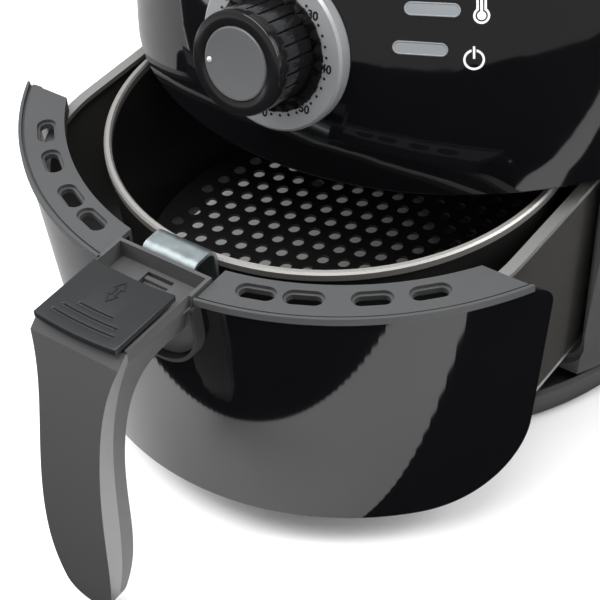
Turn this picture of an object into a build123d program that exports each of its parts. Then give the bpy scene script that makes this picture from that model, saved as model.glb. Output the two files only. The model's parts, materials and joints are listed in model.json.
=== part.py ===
from build123d import *
import os
from math import cos, radians, sin, sqrt, tan

# Air fryer with its drawer pulled part way out. Millimetres, +Z up, -Y is the front.
# Everything is laid out from the basket: x = y = 0 on the basket axis and z = 0 on its rim.
# The finished pieces are moved together so that the origin is under the middle of the whole
# object, on the surface that it stands on.

# ---- clearances shared by many pieces ------------------------------------------------
press_gap = 0.05             # pieces pressed or glued into each other
seat_gap = 0.3               # pieces that stand beside each other
slide_gap = 0.2              # under pieces that slide
running_gap = 0.06           # round turning shafts

# ---- drawer travel ---------------------------------------------------------------
drawer_out = 80.0            # how far the drawer stands out of the housing

# ---- basket ----------------------------------------------------------------------
basket_radius = 100.0        # outside of the rolled rim
basket_rim_width = 3.2
basket_rim_height = 3.6
basket_rim_bevel = 0.8
basket_rim_tuck = 1.0        # the wall runs down from this far inside the rim
basket_wall = 1.2
basket_depth = 78.0          # rim to the underside of the perforated floor
basket_draft = 5.0           # the wall leans in by this much from rim to floor
floor_plate = 1.5
hole_radius = 2.8
hole_pitch = 9.87
hole_turn = 16.75            # degrees between the hole rows and the X axis
hole_start = (-62.1, -16.8)  # one hole of the pattern
hole_field_margin = 7.0      # plain border of the perforated floor
basket_foot_radius = 6.0
basket_foot_inset = 0.5

# ---- pan -------------------------------------------------------------------------
pan_side_room = 9.2          # from the basket's rim to the pan's wall
pan_front_room = 16.0
pan_rear_room = 7.0
pan_half_width = basket_radius + pan_side_room
pan_front = -basket_radius - pan_front_room
pan_rear = basket_radius + pan_rear_room
pan_flat_half = 31.2         # half width of the flat part of its front wall
pan_corner = pan_half_width - pan_flat_half
pan_draft = 8.2              # the wall leans in by this much from rim to floor
pan_wall = 1.2
pan_top = -3.4
drip_room = 24.6             # how much deeper than the basket the pan is
pan_depth = basket_depth + drip_room
pan_floor = pan_top - pan_depth
pan_rim_inner = 3.6          # the rim band's inner and outer overhang on the wall
pan_rim_outer = 1.2
pan_rim_height = 2.2

# ---- drawer front and its trim -----------------------------------------------------
front_top_radius = pan_half_width + 35.0   # arc of the top edge, about (0, front_top_y)
front_top_y = 14.0
front_low_radius = pan_half_width + 18.8   # and of the bottom edge
front_low_y = 3.4
front_top = 3.5
front_bottom = pan_floor - 7.7
front_wall = 2.5
front_side_edge = -46.5      # y of the two upright side edges
front_top_corner = 11.0
front_low_corner = 38.0
trim_top = 6.0
trim_thickness = 2.4
trim_low = trim_top - trim_thickness
trim_inner_radius = front_top_radius - 19.0
trim_inner_y = 14.6
trim_end = -55.7             # y of the two cut ends
trim_skirt = 4.6
trim_skirt_wall = 1.6
trim_bead = 0.7              # raised line along the outer edge
trim_bead_width = 1.3
trim_groove_width = 1.2      # dark line just inside the bead
trim_groove_depth = 0.9
slot_ring_radius = front_top_radius - 11.9
slot_angles = (17.8, 25.7, 36.7, 46.0)   # degrees each side of the front
slot_length = 16.0
slot_width = 8.0
slot_step = 1.1              # ledge inside each slot
slot_upper_depth = 1.5
slot_wall = 1.2              # collar under the trim round each slot
slot_collar = 1.4

# ---- handle ----------------------------------------------------------------------
# the handle's y sizes are measured from the pan's front wall
handle_half_width = 21.3
handle_top = 7.8
root_half_width = handle_half_width + 1.3   # the part that sits in the drawer front's notch
root_bottom = -29.0
root_outer = pan_front - 12.0
root_inner = pan_front + 0.4
root_wall = 1.6
root_round = 0.86            # the root's bottom corners, as a share of its half width
notch_gap = 0.7              # clearance round the root
notch_rim = 1.6              # wall of the socket that lines the notch
socket_inner = pan_front - 3.0
socket_outer = root_outer - 3.0
# side view of the handle: (y, z) down the front, down the seam and down the back
plate_front = ((-53.4, 2.6), (-61.6, -23.4), (-68.8, -55.6), (-72.3, -97.0), (-71.0, -127.0))
seam_line = ((-47.4, 7.8), (-50.0, -9.0), (-55.6, -30.0), (-61.4, -66.0), (-65.4, -108.0), (-67.6, -127.0))
back_line = ((-66.8, -127.0), (-59.6, -108.0), (-55.4, -70.0), (-49.5, -35.0), (-36.0, -13.0), (-20.0, -10.5))
# front view of the handle: (what its half width gains on the top's, z)
handle_sides = ((0.1, 2.6), (-4.1, -11.0), (-6.2, -36.0), (-5.7, -76.0), (-6.7, -100.0), (-9.1, -115.0))
handle_tip = -126.0
recess_depth = 8.0
track_depth = 4.4
release_half_width = handle_half_width - 1.5
release_top = 11.0
release_thickness = 3.0
release_outer = pan_front - 51.6
release_inner = pan_front - 16.8
release_bow = 1.5            # its two ends curve by this much
release_drop_angle = 12.0    # its track runs down towards the pan by this many degrees
button_half_width = 13.0
button_outer = pan_front - 47.0
button_inner = pan_front - 34.0
button_top = 3.8
button_height = 6.0
button_travel = 3.0
button_corner = 2.0
button_gap = 0.4
spring_radius = 3.2
spring_wire = 0.45
spring_seat = -12.0
spring_turns = 5
spring_y = (button_outer + button_inner) / 2 - 1.5
lever_pivot_y = pan_front - 25.0
lever_pivot_z = -3.7
lever_half_width = 6.0
lever_thickness = 2.6
lever_boss_radius = 3.2
lever_reach = 2.4            # how far the lever runs under the button
lever_relief = 0.6           # the lever is thinner where the button presses it
lever_nose = 1.6
lever_nose_length = 2.0
lever_end = root_inner - 5.0
lever_swing = 5.4            # room below the pivot
pivot_radius = 1.5
pivot_length = 22.0

# ---- hook bracket -----------------------------------------------------------------
hook_half_width = 12.8
hook_sheet = 1.5
hook_top = 7.3
hook_inner = -basket_radius - 0.6   # outer face of the leg that hangs down the basket wall
hook_leg = 24.0
hook_bend = 5.0              # outside radius of its two bends
rivet_radius = 2.6
rivet_height = 1.2
rivet_x = 6.5
rivet_z = -17.0

# ---- housing ----------------------------------------------------------------------
housing_wall = 2.6
cover_edge = 8.5             # lower edge of the glossy front cover
body_top = 180.0
cap_share = 0.825            # how far up from the cover's edge the top cap starts
seam_gap = 0.4
frame_gap = 1.0              # between the closed drawer front and the housing
chamber_y = drawer_out       # the basket's axis when the drawer is shut


def up(share):
    return cover_edge + share * (body_top - cover_edge)


def oval_level(z, side_room, front_room, rear_room):
    """Level of the body: (z, half width, front y, rear y), by its room round the basket."""
    return (z, basket_radius + side_room, chamber_y - basket_radius - front_room,
            chamber_y + basket_radius + rear_room)


housing_levels = (
    oval_level(pan_floor - 9.0, 23.5, 20.0, 25.0),
    oval_level(pan_floor + 2.0, 29.5, 24.5, 32.0),
    oval_level(-50.0, 38.4, 27.5, 48.0),
    oval_level(cover_edge, 47.0, 28.0, 60.0),
    oval_level(up(0.143), 45.0, 25.2, 60.0),
    oval_level(up(0.289), 41.0, 19.6, 57.0),
    oval_level(up(0.475), 33.0, 8.0, 49.0),
    oval_level(up(0.65), 21.0, -9.0, 34.0),
    oval_level(up(cap_share), 1.0, -36.0, 10.0),
    oval_level(up(0.948), -26.0, -68.0, -23.0),
    oval_level(body_top, -50.0, -92.0, -46.0),
)
plinth_levels = (
    oval_level(pan_floor - 23.0, 18.5, 30.0, 16.0),
    oval_level(pan_floor - 17.0, 21.5, 32.0, 19.5),
    oval_level(pan_floor - 9.0, 22.0, 32.0, 20.0),
)
cap_split = up(cap_share)    # seam between the covers and the top cap
cover_split_y = chamber_y + 16.0   # seam between the front cover and the rear shell
plinth_wall = 3.0
plinth_base = plinth_levels[0][0]
plinth_rear = plinth_levels[-1][3]
vent_length = 10.0
vent_width = 3.0
vent_rows = 5
vent_columns = 7
vent_pitch_x = 14.0
vent_pitch_y = 16.0
vent_front_y = chamber_y - 35.0
foot_height = 3.0
foot_radius = 10.0
foot_bevel = 0.8
foot_x = basket_radius - 22.0
foot_front_y = chamber_y - 74.0
foot_rear_y = chamber_y + 70.0
housing_front_y = front_side_edge + drawer_out + frame_gap   # where the drawer front closes
flange_depth = 2.5
gland_radius = 5.0
gland_bore = 3.5
gland_flange = 6.4
gland_flange_height = 2.0
gland_length = 14.0
gland_z = plinth_base + 7.8

# ---- drawer opening ----------------------------------------------------------------
frame_front_y = housing_front_y - 14.5
frame_step = 2.2
frame_step_depth = 3.0
frame_seat_gap = 0.12        # between the opening's frame and the shell round it
opening_top_half = pan_half_width + 2.8
opening_lean = 5.7           # the opening's sides lean in by this much down to its floor
opening_low_half = opening_top_half - opening_lean
opening_bottom = pan_floor - 3.0
opening_corner = 14.0
liner_sheet = 1.0
liner_rear = chamber_y + pan_rear + 7.0
liner_lean = 7.0             # the liner's back wall leans in by this much down to its floor
liner_top = 14.0
liner_corner = 70.0
liner_corner_gain = 4.0

# ---- heating and air ---------------------------------------------------------------
chamber_radius = basket_radius - 8.0
chamber_top = 50.0
chamber_flange = basket_radius + 6.0
sheet = 1.0
hub_room = 2.0               # round the shaft where it passes through sheet
coil_tube = 3.2
coil_radii = (chamber_radius - 54.0, chamber_radius - 36.0, chamber_radius - 18.0)
coil_z = 25.0
coil_post_x = 12.0
coil_bridge_turns = (25, 205)
guard_wire = 1.1
guard_z = 17.5
guard_outer = chamber_radius - 3.2
guard_rings = 4
fan_radius = chamber_radius - 32.0
fan_z = 34.0
fan_height = 10.0
fan_blades = 10
fan_blade_width = 1.6
fan_hub_radius = 9.0
fan_disc = 1.2
shaft_radius = 3.0
shaft_overhang = 6.0
cooling_fan_radius = chamber_radius - 40.0
cooling_fan_z = 58.0
cooling_fan_height = 9.0
cooling_fan_blades = 12
cooling_blade_width = 1.4
shield_radius = chamber_radius - 6.0
motor_radius = 31.0
motor_low = 76.0
motor_high = 108.0
motor_bevel = 3.0
motor_boss_radius = 9.0
motor_cap_height = 4.0
bracket_z = 73.0
bracket_sheet = 1.6
bracket_half_width = 14.0
bracket_reach = chamber_radius - 24.6
screw_x = 40.0
screw_length = 6.0
screw_head = 3.2
screw_head_height = 2.0
screw_shank = 1.5
exhaust_half_width = 34.0
exhaust_low = -36.0
exhaust_high = -8.0
exhaust_reach = 40.0         # the window is cut from this far behind the seam
grille_gap = 0.1
grille_inset = 0.4
grille_slots = 11
grille_slot_width = 3.2
grille_border_x = 3.0
grille_border_z = 3.5
duct_outer_gap = 3.0         # between the window's edge and the duct
duct_inner_gap = 4.2

# ---- controls ----------------------------------------------------------------------
dial_centre = (0.0, chamber_y - basket_radius - 21.9, 58.4)
dial_tilt = 15.3             # the dial's face looks up by this many degrees
dial_radius = 33.0
dial_depth = 10.0
dial_bevel = 1.0
knob_radius = 21.3
knob_height = 21.9
knob_bevel = 1.2
knob_flutes = 24
flute_radius = 1.5
flute_offset = 0.5
flute_stop = 3.5             # the flutes end this far below the face
knob_gap = 0.6               # above the dial plate
knob_cap_radius = 14.8
knob_cap_height = 1.9
knob_cap_depth = 1.4
knob_cap_round = 0.8
spindle_radius = 3.0
spindle_stop = 6.0           # the spindles end this far below the knob's face
spindle_inside = 8.0
timer_size = 36.0
timer_depth = 14.0
lamp_length = 20.5
lamp_width = 4.8
lamp_rise = 0.5              # the lenses stand this far out of the cover
lamp_root = 2.5
lamp_places = ((59.0, 82.3), (57.4, 68.2))   # (x, z) of each lamp's middle
lamp_radius = 1.8
lamp_stem = 6.8
lamp_board_size = (30.0, 26.0, 1.6)
heat_knob_radius = 22.0
heat_knob_height = 15.0
heat_knob_y = chamber_y + 23.0
heat_seat_radius = 27.0
heat_seat_depth = 1.0
heat_knob_lift = 0.4
thermostat_half = (17.0, 14.0)
thermostat_height = 18.0

# ---- small parts inside the body -----------------------------------------------------
switch_x = -40.0
switch_y = chamber_y - basket_radius - 9.0
switch_half = (10.0, 5.0)
switch_low = 14.5
switch_height = 11.5
switch_plunger_half = (2.0, 3.0)
switch_plunger = 3.0
terminal_x = 40.0
terminal_y = chamber_y + 87.0
terminal_half = (18.0, 7.0)
terminal_height = 10.0
terminal_hole_radius = 2.2
terminal_hole_depth = 4.0
terminal_pitch = 10.0

FAR = 600.0                  # larger than anything here, for cutting blocks


# ---- shared shapes -------------------------------------------------------------------
def block(x0, x1, y0, y1, z0, z1):
    return Pos((x0 + x1) / 2, (y0 + y1) / 2, (z0 + z1) / 2) * Box(x1 - x0, y1 - y0, z1 - z0)


def post(radius, z0, z1, x=0.0, y=0.0):
    return Pos(x, y, (z0 + z1) / 2) * Cylinder(radius, z1 - z0)


def oval_form(levels, inset=0.0, top_inset=0.0):
    """Smooth body through a list of oval levels, drawn in all round by inset."""
    sections = []
    for index, (z, half_width, front, rear) in enumerate(levels):
        drop = top_inset if index == len(levels) - 1 else 0.0
        oval = Ellipse(half_width - inset, (rear - front) / 2 - inset)
        sections.append(Pos(0, (front + rear) / 2, z - drop) * oval)
    return loft(sections)


def rounded_form(low, high):
    """Loft between two rounded rectangles: each is (z, half width, front y, rear y, corner)."""
    sections = []
    for z, half_width, front, rear, corner in (low, high):
        outline = RectangleRounded(2 * half_width, rear - front, corner)
        sections.append(Pos(0, (front + rear) / 2, z) * outline)
    return loft(sections, ruled=True)


def side_points(points):
    """Points of the handle's side view, from (y behind the pan's front wall, z)."""
    return [(0, pan_front + y, z) for y, z in points]


def front_form(inset, y_shift=0.0):
    """Slanted cone that the drawer front is cut from."""
    low = Pos(0, front_low_y + y_shift, front_bottom) * Circle(front_low_radius - inset)
    high = Pos(0, front_top_y + y_shift, front_top) * Circle(front_top_radius - inset)
    return loft([low, high], ruled=True)


def u_prism(half_width, bottom, top, y0, y1):
    """Block with a round bottom, as the handle's root has."""
    shape = block(-half_width, half_width, y0, y1, bottom, top)
    low_edges = shape.edges().filter_by(Axis.Y).group_by(Axis.Z)[0]
    return fillet(low_edges, half_width * root_round)


def front_view_prism():
    """Solid whose front view is the handle's outline."""
    right = Spline(*[(handle_half_width + gain, 0, z) for gain, z in handle_sides])
    left = Spline(*[(-handle_half_width - gain, 0, z) for gain, z in handle_sides])
    wide = handle_half_width + handle_sides[0][0]
    top = release_top + handle_half_width
    upper = Polyline(right @ 0, (wide, 0, top), (-wide, 0, top), left @ 0)
    tip = ThreePointArc(right @ 1, (0, 0, handle_tip), left @ 1)
    face = make_face([right, tip, left, upper])
    return extrude(face, FAR, dir=(0, -1, 0))


def screw(x, y, z):
    """Pan-head screw standing along Z on the face at z."""
    head = Pos(x, y, z + screw_head_height / 2) * Cylinder(screw_head, screw_head_height)
    stem = Pos(x, y, z - screw_length / 2) * Cylinder(screw_shank, screw_length)
    return head + stem


def rotor(radius, blades, height, blade_width):
    """Flat fan: a hub disc with radial blades standing on it."""
    foot = (Align.CENTER, Align.CENTER, Align.MIN)
    shape = Cylinder(radius * 0.55, fan_disc, align=foot) + Cylinder(fan_hub_radius, height, align=foot)
    for index in range(blades):
        blade = Pos(radius * 0.62, 0, height / 2) * Box(radius * 0.76, blade_width, height)
        shape += Rot(0, 0, 360 * index / blades) * blade
    return shape - Pos(0, 0, height / 2) * Cylinder(shaft_radius, 3 * height)


# ---- basket ------------------------------------------------------------------------
def basket_wall_piece():
    top = basket_radius
    low = basket_radius - basket_draft
    inside = top - basket_rim_width
    floor_top = -basket_depth + floor_plate
    outline = Polyline(
        (inside, 0, -basket_rim_height),
        (inside, 0, -basket_rim_bevel),
        (inside + basket_rim_bevel, 0, 0),
        (top - basket_rim_bevel, 0, 0),
        (top, 0, -basket_rim_bevel),
        (top, 0, -basket_rim_height),
        (top - basket_rim_tuck, 0, -basket_rim_height - basket_rim_tuck),
        (low, 0, floor_top),
        (low - basket_wall, 0, floor_top),
        (inside, 0, -basket_rim_height),
    )
    return revolve(make_face(outline), Axis.Z)


def basket_floor_piece():
    edge = basket_radius - basket_draft
    plate = post(edge, -basket_depth, -basket_depth + floor_plate - press_gap)
    row_step = hole_pitch * sqrt(3) / 2
    reach = int(2 * edge / hole_pitch) + 2
    places = []
    for row in range(-reach, reach + 1):
        for column in range(-reach, reach + 1):
            along = hole_pitch * (column + 0.5 * row)
            across = row_step * row
            x = hole_start[0] + along * cos(radians(hole_turn)) - across * sin(radians(hole_turn))
            y = hole_start[1] + along * sin(radians(hole_turn)) + across * cos(radians(hole_turn))
            if sqrt(x * x + y * y) < edge - hole_field_margin - hole_radius:
                places.append(Pos(x, y, -basket_depth) * Circle(hole_radius))
    return plate - extrude(Sketch() + places, 3 * floor_plate, both=True)


def basket_feet_piece():
    """Four posts under the perforated floor that keep it above the pan."""
    ring = basket_radius - basket_draft - basket_foot_radius - basket_foot_inset
    low = pan_floor + pan_wall + seat_gap
    feet = []
    for angle in (45, 135, 225, 315):
        x = ring * cos(radians(angle))
        y = ring * sin(radians(angle))
        feet.append(post(basket_foot_radius, low, -basket_depth - press_gap, x, y))
    return Compound(feet)


def hook_bracket_piece():
    """Bent strip: down the basket wall, over the pan's rim, and on to the handle's end wall."""
    inner_leg = block(-hook_half_width, hook_half_width, hook_inner - hook_sheet, hook_inner,
                      -hook_leg, hook_top)
    outer_y = root_inner + hook_sheet
    bridge = block(-hook_half_width, hook_half_width, root_inner, hook_inner,
                   hook_top - hook_sheet, hook_top)
    outer_leg = block(-hook_half_width, hook_half_width, root_inner, outer_y, pan_top + 1.0, hook_top)
    shape = inner_leg + bridge + outer_leg
    outer_bend = shape.edges().filter_by(Axis.X).group_by(Axis.Z)[-1]
    shape = fillet(outer_bend, hook_bend)
    under = hook_top - hook_sheet
    inner_bend = shape.edges().filter_by(Axis.X).filter_by_position(
        Axis.Z, under - press_gap, under + press_gap)
    return fillet(inner_bend, hook_bend - hook_sheet)


def bracket_rivets_piece():
    """Heads of the two rivets that hold the bracket's long leg to the basket wall."""
    face = hook_inner - hook_sheet - rivet_height / 2
    head = Rot(90, 0, 0) * Cylinder(rivet_radius, rivet_height)
    return Compound([Pos(x, face, rivet_z) * head for x in (-rivet_x, rivet_x)])


# ---- handle -------------------------------------------------------------------------
def release_track():
    """Room over the slope that the release cover's underside slides down."""
    start_y = release_outer - release_bow - slide_gap
    start_z = release_top - release_thickness - slide_gap
    end_y = root_inner
    end_z = start_z - (end_y - start_y) * tan(radians(release_drop_angle))
    top = release_top + release_thickness
    side = Polyline((0, start_y, start_z), (0, end_y, end_z), (0, end_y, top), (0, start_y, top),
                    (0, start_y, start_z))
    return extrude(make_face(side), 2 * handle_half_width, dir=(1, 0, 0), both=True)


def handle_shell_piece():
    top_y = pan_front + seam_line[0][0]
    low_z = back_line[-1][1]
    top_line = Polyline((0, root_outer, handle_top), (0, top_y, handle_top))
    seam = Spline(*side_points(seam_line))
    tip = Line(seam @ 1, side_points(back_line)[0])
    back = Spline(*side_points(back_line))
    under = Polyline(back @ 1, (0, root_outer, low_z), (0, root_outer, handle_top))
    side = make_face([top_line, seam, tip, back, under])
    grip = extrude(side, 2 * handle_half_width, dir=(1, 0, 0), both=True) & front_view_prism()
    root = u_prism(root_half_width, root_bottom, handle_top - seat_gap, root_outer, root_inner)
    root -= block(-FAR, FAR, pan_front - 2.0, FAR, -FAR, pan_top + 1.0)
    shape = grip + root
    recess_half = root_half_width - root_wall
    recess_floor = handle_top - recess_depth
    shape -= block(-recess_half, recess_half, root_outer - 4.0, root_inner - root_wall,
                   recess_floor, FAR)
    shape -= block(-release_half_width - seat_gap, release_half_width + seat_gap, release_outer + 2.0,
                   root_outer, handle_top - track_depth, FAR)
    shape -= block(-button_half_width - button_gap, button_half_width + button_gap,
                   button_outer - button_gap, button_inner + button_gap,
                   button_top - button_height - button_travel - button_gap, FAR)
    shape -= block(-lever_half_width - button_gap, lever_half_width + button_gap, button_inner - 3.0,
                   lever_end + 1.4, lever_pivot_z - lever_swing, FAR)
    shape -= post(spring_radius + spring_wire + 0.6, spring_seat, 0, 0, spring_y)
    return shape - lever_axis_rod(pivot_radius, pivot_length)


def lever_axis_rod(radius, length):
    return Pos(0, lever_pivot_y, lever_pivot_z) * Rot(0, 90, 0) * Cylinder(radius, length)


def lever_pin_piece():
    return lever_axis_rod(pivot_radius - 0.01, pivot_length - slide_gap)


def handle_front_plate_piece():
    front = Spline(*side_points(plate_front))
    seam = Spline(*[(0, y - press_gap, z) for _, y, z in side_points(seam_line)])
    top = Line(seam @ 0, front @ 0)
    tip = Line(seam @ 1, front @ 1)
    side = make_face([front, tip, seam, top])
    plate = extrude(side, 2 * handle_half_width, dir=(1, 0, 0), both=True) & front_view_prism()
    return plate - release_track()


def release_cover_piece():
    plate = block(-release_half_width, release_half_width, release_outer - release_bow, release_inner,
                  release_top - release_thickness, release_top)
    bow = 8 * release_half_width
    outer_arc = post(bow, -FAR, FAR, 0, release_outer - release_bow + bow + 0.3)
    inner_arc = post(bow, -FAR, FAR, 0, release_inner - release_bow + bow)
    return (plate & outer_arc) - inner_arc


def release_button_piece():
    pad = block(-button_half_width, button_half_width, button_outer, button_inner,
                button_top - button_height, button_top)
    corners = pad.edges().filter_by(Axis.Z)
    return fillet(corners, button_corner)


def latch_lever_piece():
    """Rocking lever under the button; its far nose catches the socket."""
    z0 = lever_pivot_z - lever_thickness / 2
    z1 = lever_pivot_z + lever_thickness / 2
    thumb_y = button_inner + lever_reach
    arm = block(-lever_half_width, lever_half_width, thumb_y, lever_end, z0, z1)
    thumb = block(-lever_half_width, lever_half_width, button_inner - lever_reach, thumb_y,
                  z0, z1 - lever_relief)
    nose = block(-lever_half_width, lever_half_width, lever_end - lever_nose_length, lever_end,
                 z0, z1 + lever_nose)
    boss = lever_axis_rod(lever_boss_radius, 2 * lever_half_width)
    return arm + thumb + boss + nose - lever_axis_rod(pivot_radius + running_gap, 3 * lever_half_width)


def button_spring_piece():
    """Open coil spring between the handle and the button."""
    low = spring_seat + 2 * press_gap
    high = button_top - button_height - 2 * press_gap
    rise = high - low - 2 * spring_wire
    path = Helix(rise / spring_turns, rise, spring_radius)
    profile = Plane(path @ 0, z_dir=path % 0) * Circle(spring_wire)
    return Pos(0, spring_y, low + spring_wire) * sweep(profile, path)


# ---- drawer -------------------------------------------------------------------------
def pan_piece():
    low = (pan_floor, pan_half_width - pan_draft, pan_front + pan_draft, pan_rear - pan_draft,
           pan_corner - pan_draft)
    high = (pan_top, pan_half_width, pan_front, pan_rear, pan_corner)
    inner_low = (pan_floor + pan_wall, low[1] - pan_wall, low[2] + pan_wall, low[3] - pan_wall,
                 low[4] - pan_wall)
    inner_high = (pan_top + press_gap, high[1] - pan_wall, high[2] + pan_wall, high[3] - pan_wall,
                  high[4] - pan_wall)
    shell = rounded_form(low, high) - rounded_form(inner_low, inner_high)
    middle = (pan_front + pan_rear) / 2
    length = pan_rear - pan_front
    outer = RectangleRounded(2 * (pan_half_width + pan_rim_outer), length + 2 * pan_rim_outer,
                             pan_corner + pan_rim_outer)
    inner = RectangleRounded(2 * (pan_half_width - pan_rim_inner), length - 2 * pan_rim_inner,
                             pan_corner - pan_rim_inner)
    band = extrude(Pos(0, middle, pan_top - pan_rim_height) * (outer - inner), pan_rim_height)
    return shell + band


def drawer_front_piece():
    shell = front_form(0) - front_form(front_wall)
    side = block(-FAR, FAR, -FAR, front_side_edge, front_bottom, front_top)
    rear_edges = side.edges().filter_by(Axis.X).group_by(Axis.Y)[-1]
    side = fillet(rear_edges.sort_by(Axis.Z)[-1], front_top_corner)
    low_edge = side.edges().filter_by(Axis.X).filter_by_position(
        Axis.Z, front_bottom - press_gap, front_bottom + press_gap).sort_by(Axis.Y)[-1]
    side = fillet(low_edge, front_low_corner)
    notch_half = root_half_width + notch_gap + notch_rim
    notch = u_prism(notch_half, root_bottom - notch_gap - notch_rim, front_top + notch_half,
                    -FAR, pan_front)
    return (shell & side) - notch


def drawer_trim_piece(side):
    """Half of the grey top trim; side -1 is the left half, +1 the right."""
    disc = Pos(0, front_top_y) * Circle(front_top_radius)
    gap = Pos(0, trim_inner_y) * Circle(trim_inner_radius)
    band = extrude(Pos(0, 0, trim_low) * (disc - gap), trim_thickness)
    skirt_outer = Pos(0, trim_inner_y) * Circle(trim_inner_radius + trim_skirt_wall)
    skirt = extrude(Pos(0, 0, trim_low - trim_skirt) * (skirt_outer - gap), trim_skirt)
    bead_inner = Pos(0, front_top_y) * Circle(front_top_radius - trim_bead_width)
    bead = extrude(Pos(0, 0, trim_low) * (disc - bead_inner), trim_thickness + trim_bead)
    groove_inner = Pos(0, front_top_y) * Circle(front_top_radius - trim_bead_width - trim_groove_width)
    groove = extrude(Pos(0, 0, trim_top - trim_groove_depth) * (bead_inner - groove_inner), trim_top)
    shape = band + skirt + bead - groove
    collar = SlotOverall(slot_length + 2 * slot_wall, slot_width + 2 * slot_wall)
    upper = SlotOverall(slot_length, slot_width)
    lower = SlotOverall(slot_length - 2 * slot_step, slot_width - 2 * slot_step)
    for angle in slot_angles:
        x = side * slot_ring_radius * sin(radians(angle))
        y = front_top_y - slot_ring_radius * cos(radians(angle))
        place = Pos(x, y, 0) * Rot(0, 0, side * angle)
        shape += place * Pos(0, 0, trim_low - slot_collar) * extrude(collar, slot_collar)
        shape -= place * Pos(0, 0, trim_top - slot_upper_depth) * extrude(upper, trim_top)
        shape -= place * extrude(lower, 2 * trim_top, both=True)
    near, far = sorted((side * (root_half_width + notch_gap), side * FAR))
    return shape & block(near, far, -FAR, trim_end, -FAR, FAR)


def handle_socket_piece():
    """Lining of the notch that the handle's root sits in."""
    inner_half = root_half_width + notch_gap
    outer_half = inner_half + notch_rim - press_gap
    outer = u_prism(outer_half, root_bottom - notch_gap - notch_rim + press_gap,
                    trim_low - 2 * press_gap, socket_outer, socket_inner)
    inner = u_prism(inner_half, root_bottom - notch_gap, trim_top + inner_half,
                    socket_outer - 1, socket_inner + 1)
    return outer - inner


# ---- housing ------------------------------------------------------------------------
def opening_lean_per_mm():
    return opening_lean / -opening_bottom


def opening_form(grow, front, rear):
    """Tapered opening that the pan slides through, open at the top."""
    bottom = opening_bottom - grow
    high = housing_front_y
    low_half = opening_low_half + grow
    high_half = low_half + opening_lean_per_mm() * (high - bottom)
    outline = Polyline((-low_half, 0, bottom), (low_half, 0, bottom), (high_half, 0, high),
                       (-high_half, 0, high), (-low_half, 0, bottom))
    solid = Pos(0, rear, 0) * extrude(make_face(outline), rear - front, dir=(0, -1, 0))
    corners = solid.edges().filter_by(Axis.Y).group_by(Axis.Z)[0]
    return fillet(corners, opening_corner)


def housing_shell_piece(form, hollow):
    shell = form - hollow
    lower = shell & block(-FAR, FAR, housing_front_y, FAR, -FAR, cover_edge)
    upper = shell & block(-FAR, FAR, cover_split_y, FAR, cover_edge - press_gap, cap_split)
    flange = (hollow & block(-FAR, FAR, housing_front_y, housing_front_y + flange_depth,
                             housing_levels[1][0], front_top))
    flange -= front_form(front_wall + frame_gap, drawer_out)
    return lower + upper + flange - exhaust_window()


def exhaust_window():
    return block(-exhaust_half_width, exhaust_half_width, cover_split_y + exhaust_reach, FAR,
                 exhaust_low, exhaust_high)


def outlet_grille_piece():
    """Curved louvre that fills the window in the back wall."""
    front = cover_split_y + exhaust_reach
    shape = oval_form(housing_levels, grille_inset) - oval_form(housing_levels, housing_wall - grille_inset)
    shape &= block(-exhaust_half_width + grille_gap, exhaust_half_width - grille_gap, front, FAR,
                   exhaust_low + grille_gap, exhaust_high - grille_gap)
    first = -exhaust_half_width + grille_border_x
    pitch = -2 * first / grille_slots
    for index in range(grille_slots):
        x = first + pitch * (index + 0.5)
        shape -= block(x - grille_slot_width / 2, x + grille_slot_width / 2, front, FAR,
                       exhaust_low + grille_border_z, exhaust_high - grille_border_z)
    return shape


def duct_block(gap, front, rear):
    return block(-exhaust_half_width + gap, exhaust_half_width - gap, front, rear,
                 exhaust_low + gap - 1, exhaust_high - gap + 1)


def exhaust_duct_piece(hollow):
    outer = duct_block(duct_outer_gap, liner_rear + 2 * press_gap, FAR) & hollow
    return outer - duct_block(duct_inner_gap, liner_rear - sheet, FAR)


def dial_plane():
    tilt = radians(dial_tilt)
    return Plane(origin=dial_centre, x_dir=(1, 0, 0), z_dir=(0, -cos(tilt), sin(tilt)))


def lamp_plane(form, place):
    x, z = place
    point, normal = form.find_intersection_points(Axis((x, -FAR, z), (0, 1, 0)))[0]
    if normal.Y > 0:
        normal = -normal
    across = normal.cross(Vector(0, 0, 1)) * -1
    return Plane(origin=point, x_dir=across, z_dir=normal)


def lamp_lens_piece(form, place):
    plane = lamp_plane(form, place)
    depth = housing_wall + lamp_root
    return plane * Pos(0, 0, -depth) * extrude(SlotOverall(lamp_length, lamp_width), depth + lamp_rise)


def front_cover_piece(form, hollow):
    shape = form - hollow
    shape &= block(-FAR, FAR, -FAR, cover_split_y - seam_gap, cover_edge, cap_split - seam_gap)
    plane = dial_plane()
    shape -= plane * Pos(0, 0, -dial_depth / 2) * Cylinder(dial_radius + press_gap, 2 * dial_depth)
    window = SlotOverall(lamp_length + 2 * press_gap, lamp_width + 2 * press_gap)
    window = extrude(window, dial_radius, both=True)
    for place in lamp_places:
        shape -= lamp_plane(form, place) * window
    return shape


def top_cap_piece(form, hollow):
    shape = form - hollow
    shape &= block(-FAR, FAR, -FAR, FAR, cap_split, FAR)
    shape -= post(heat_seat_radius, body_top - heat_seat_depth, FAR, 0, heat_knob_y)
    return shape - post(spindle_radius + running_gap, cap_split, FAR, 0, heat_knob_y)


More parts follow.
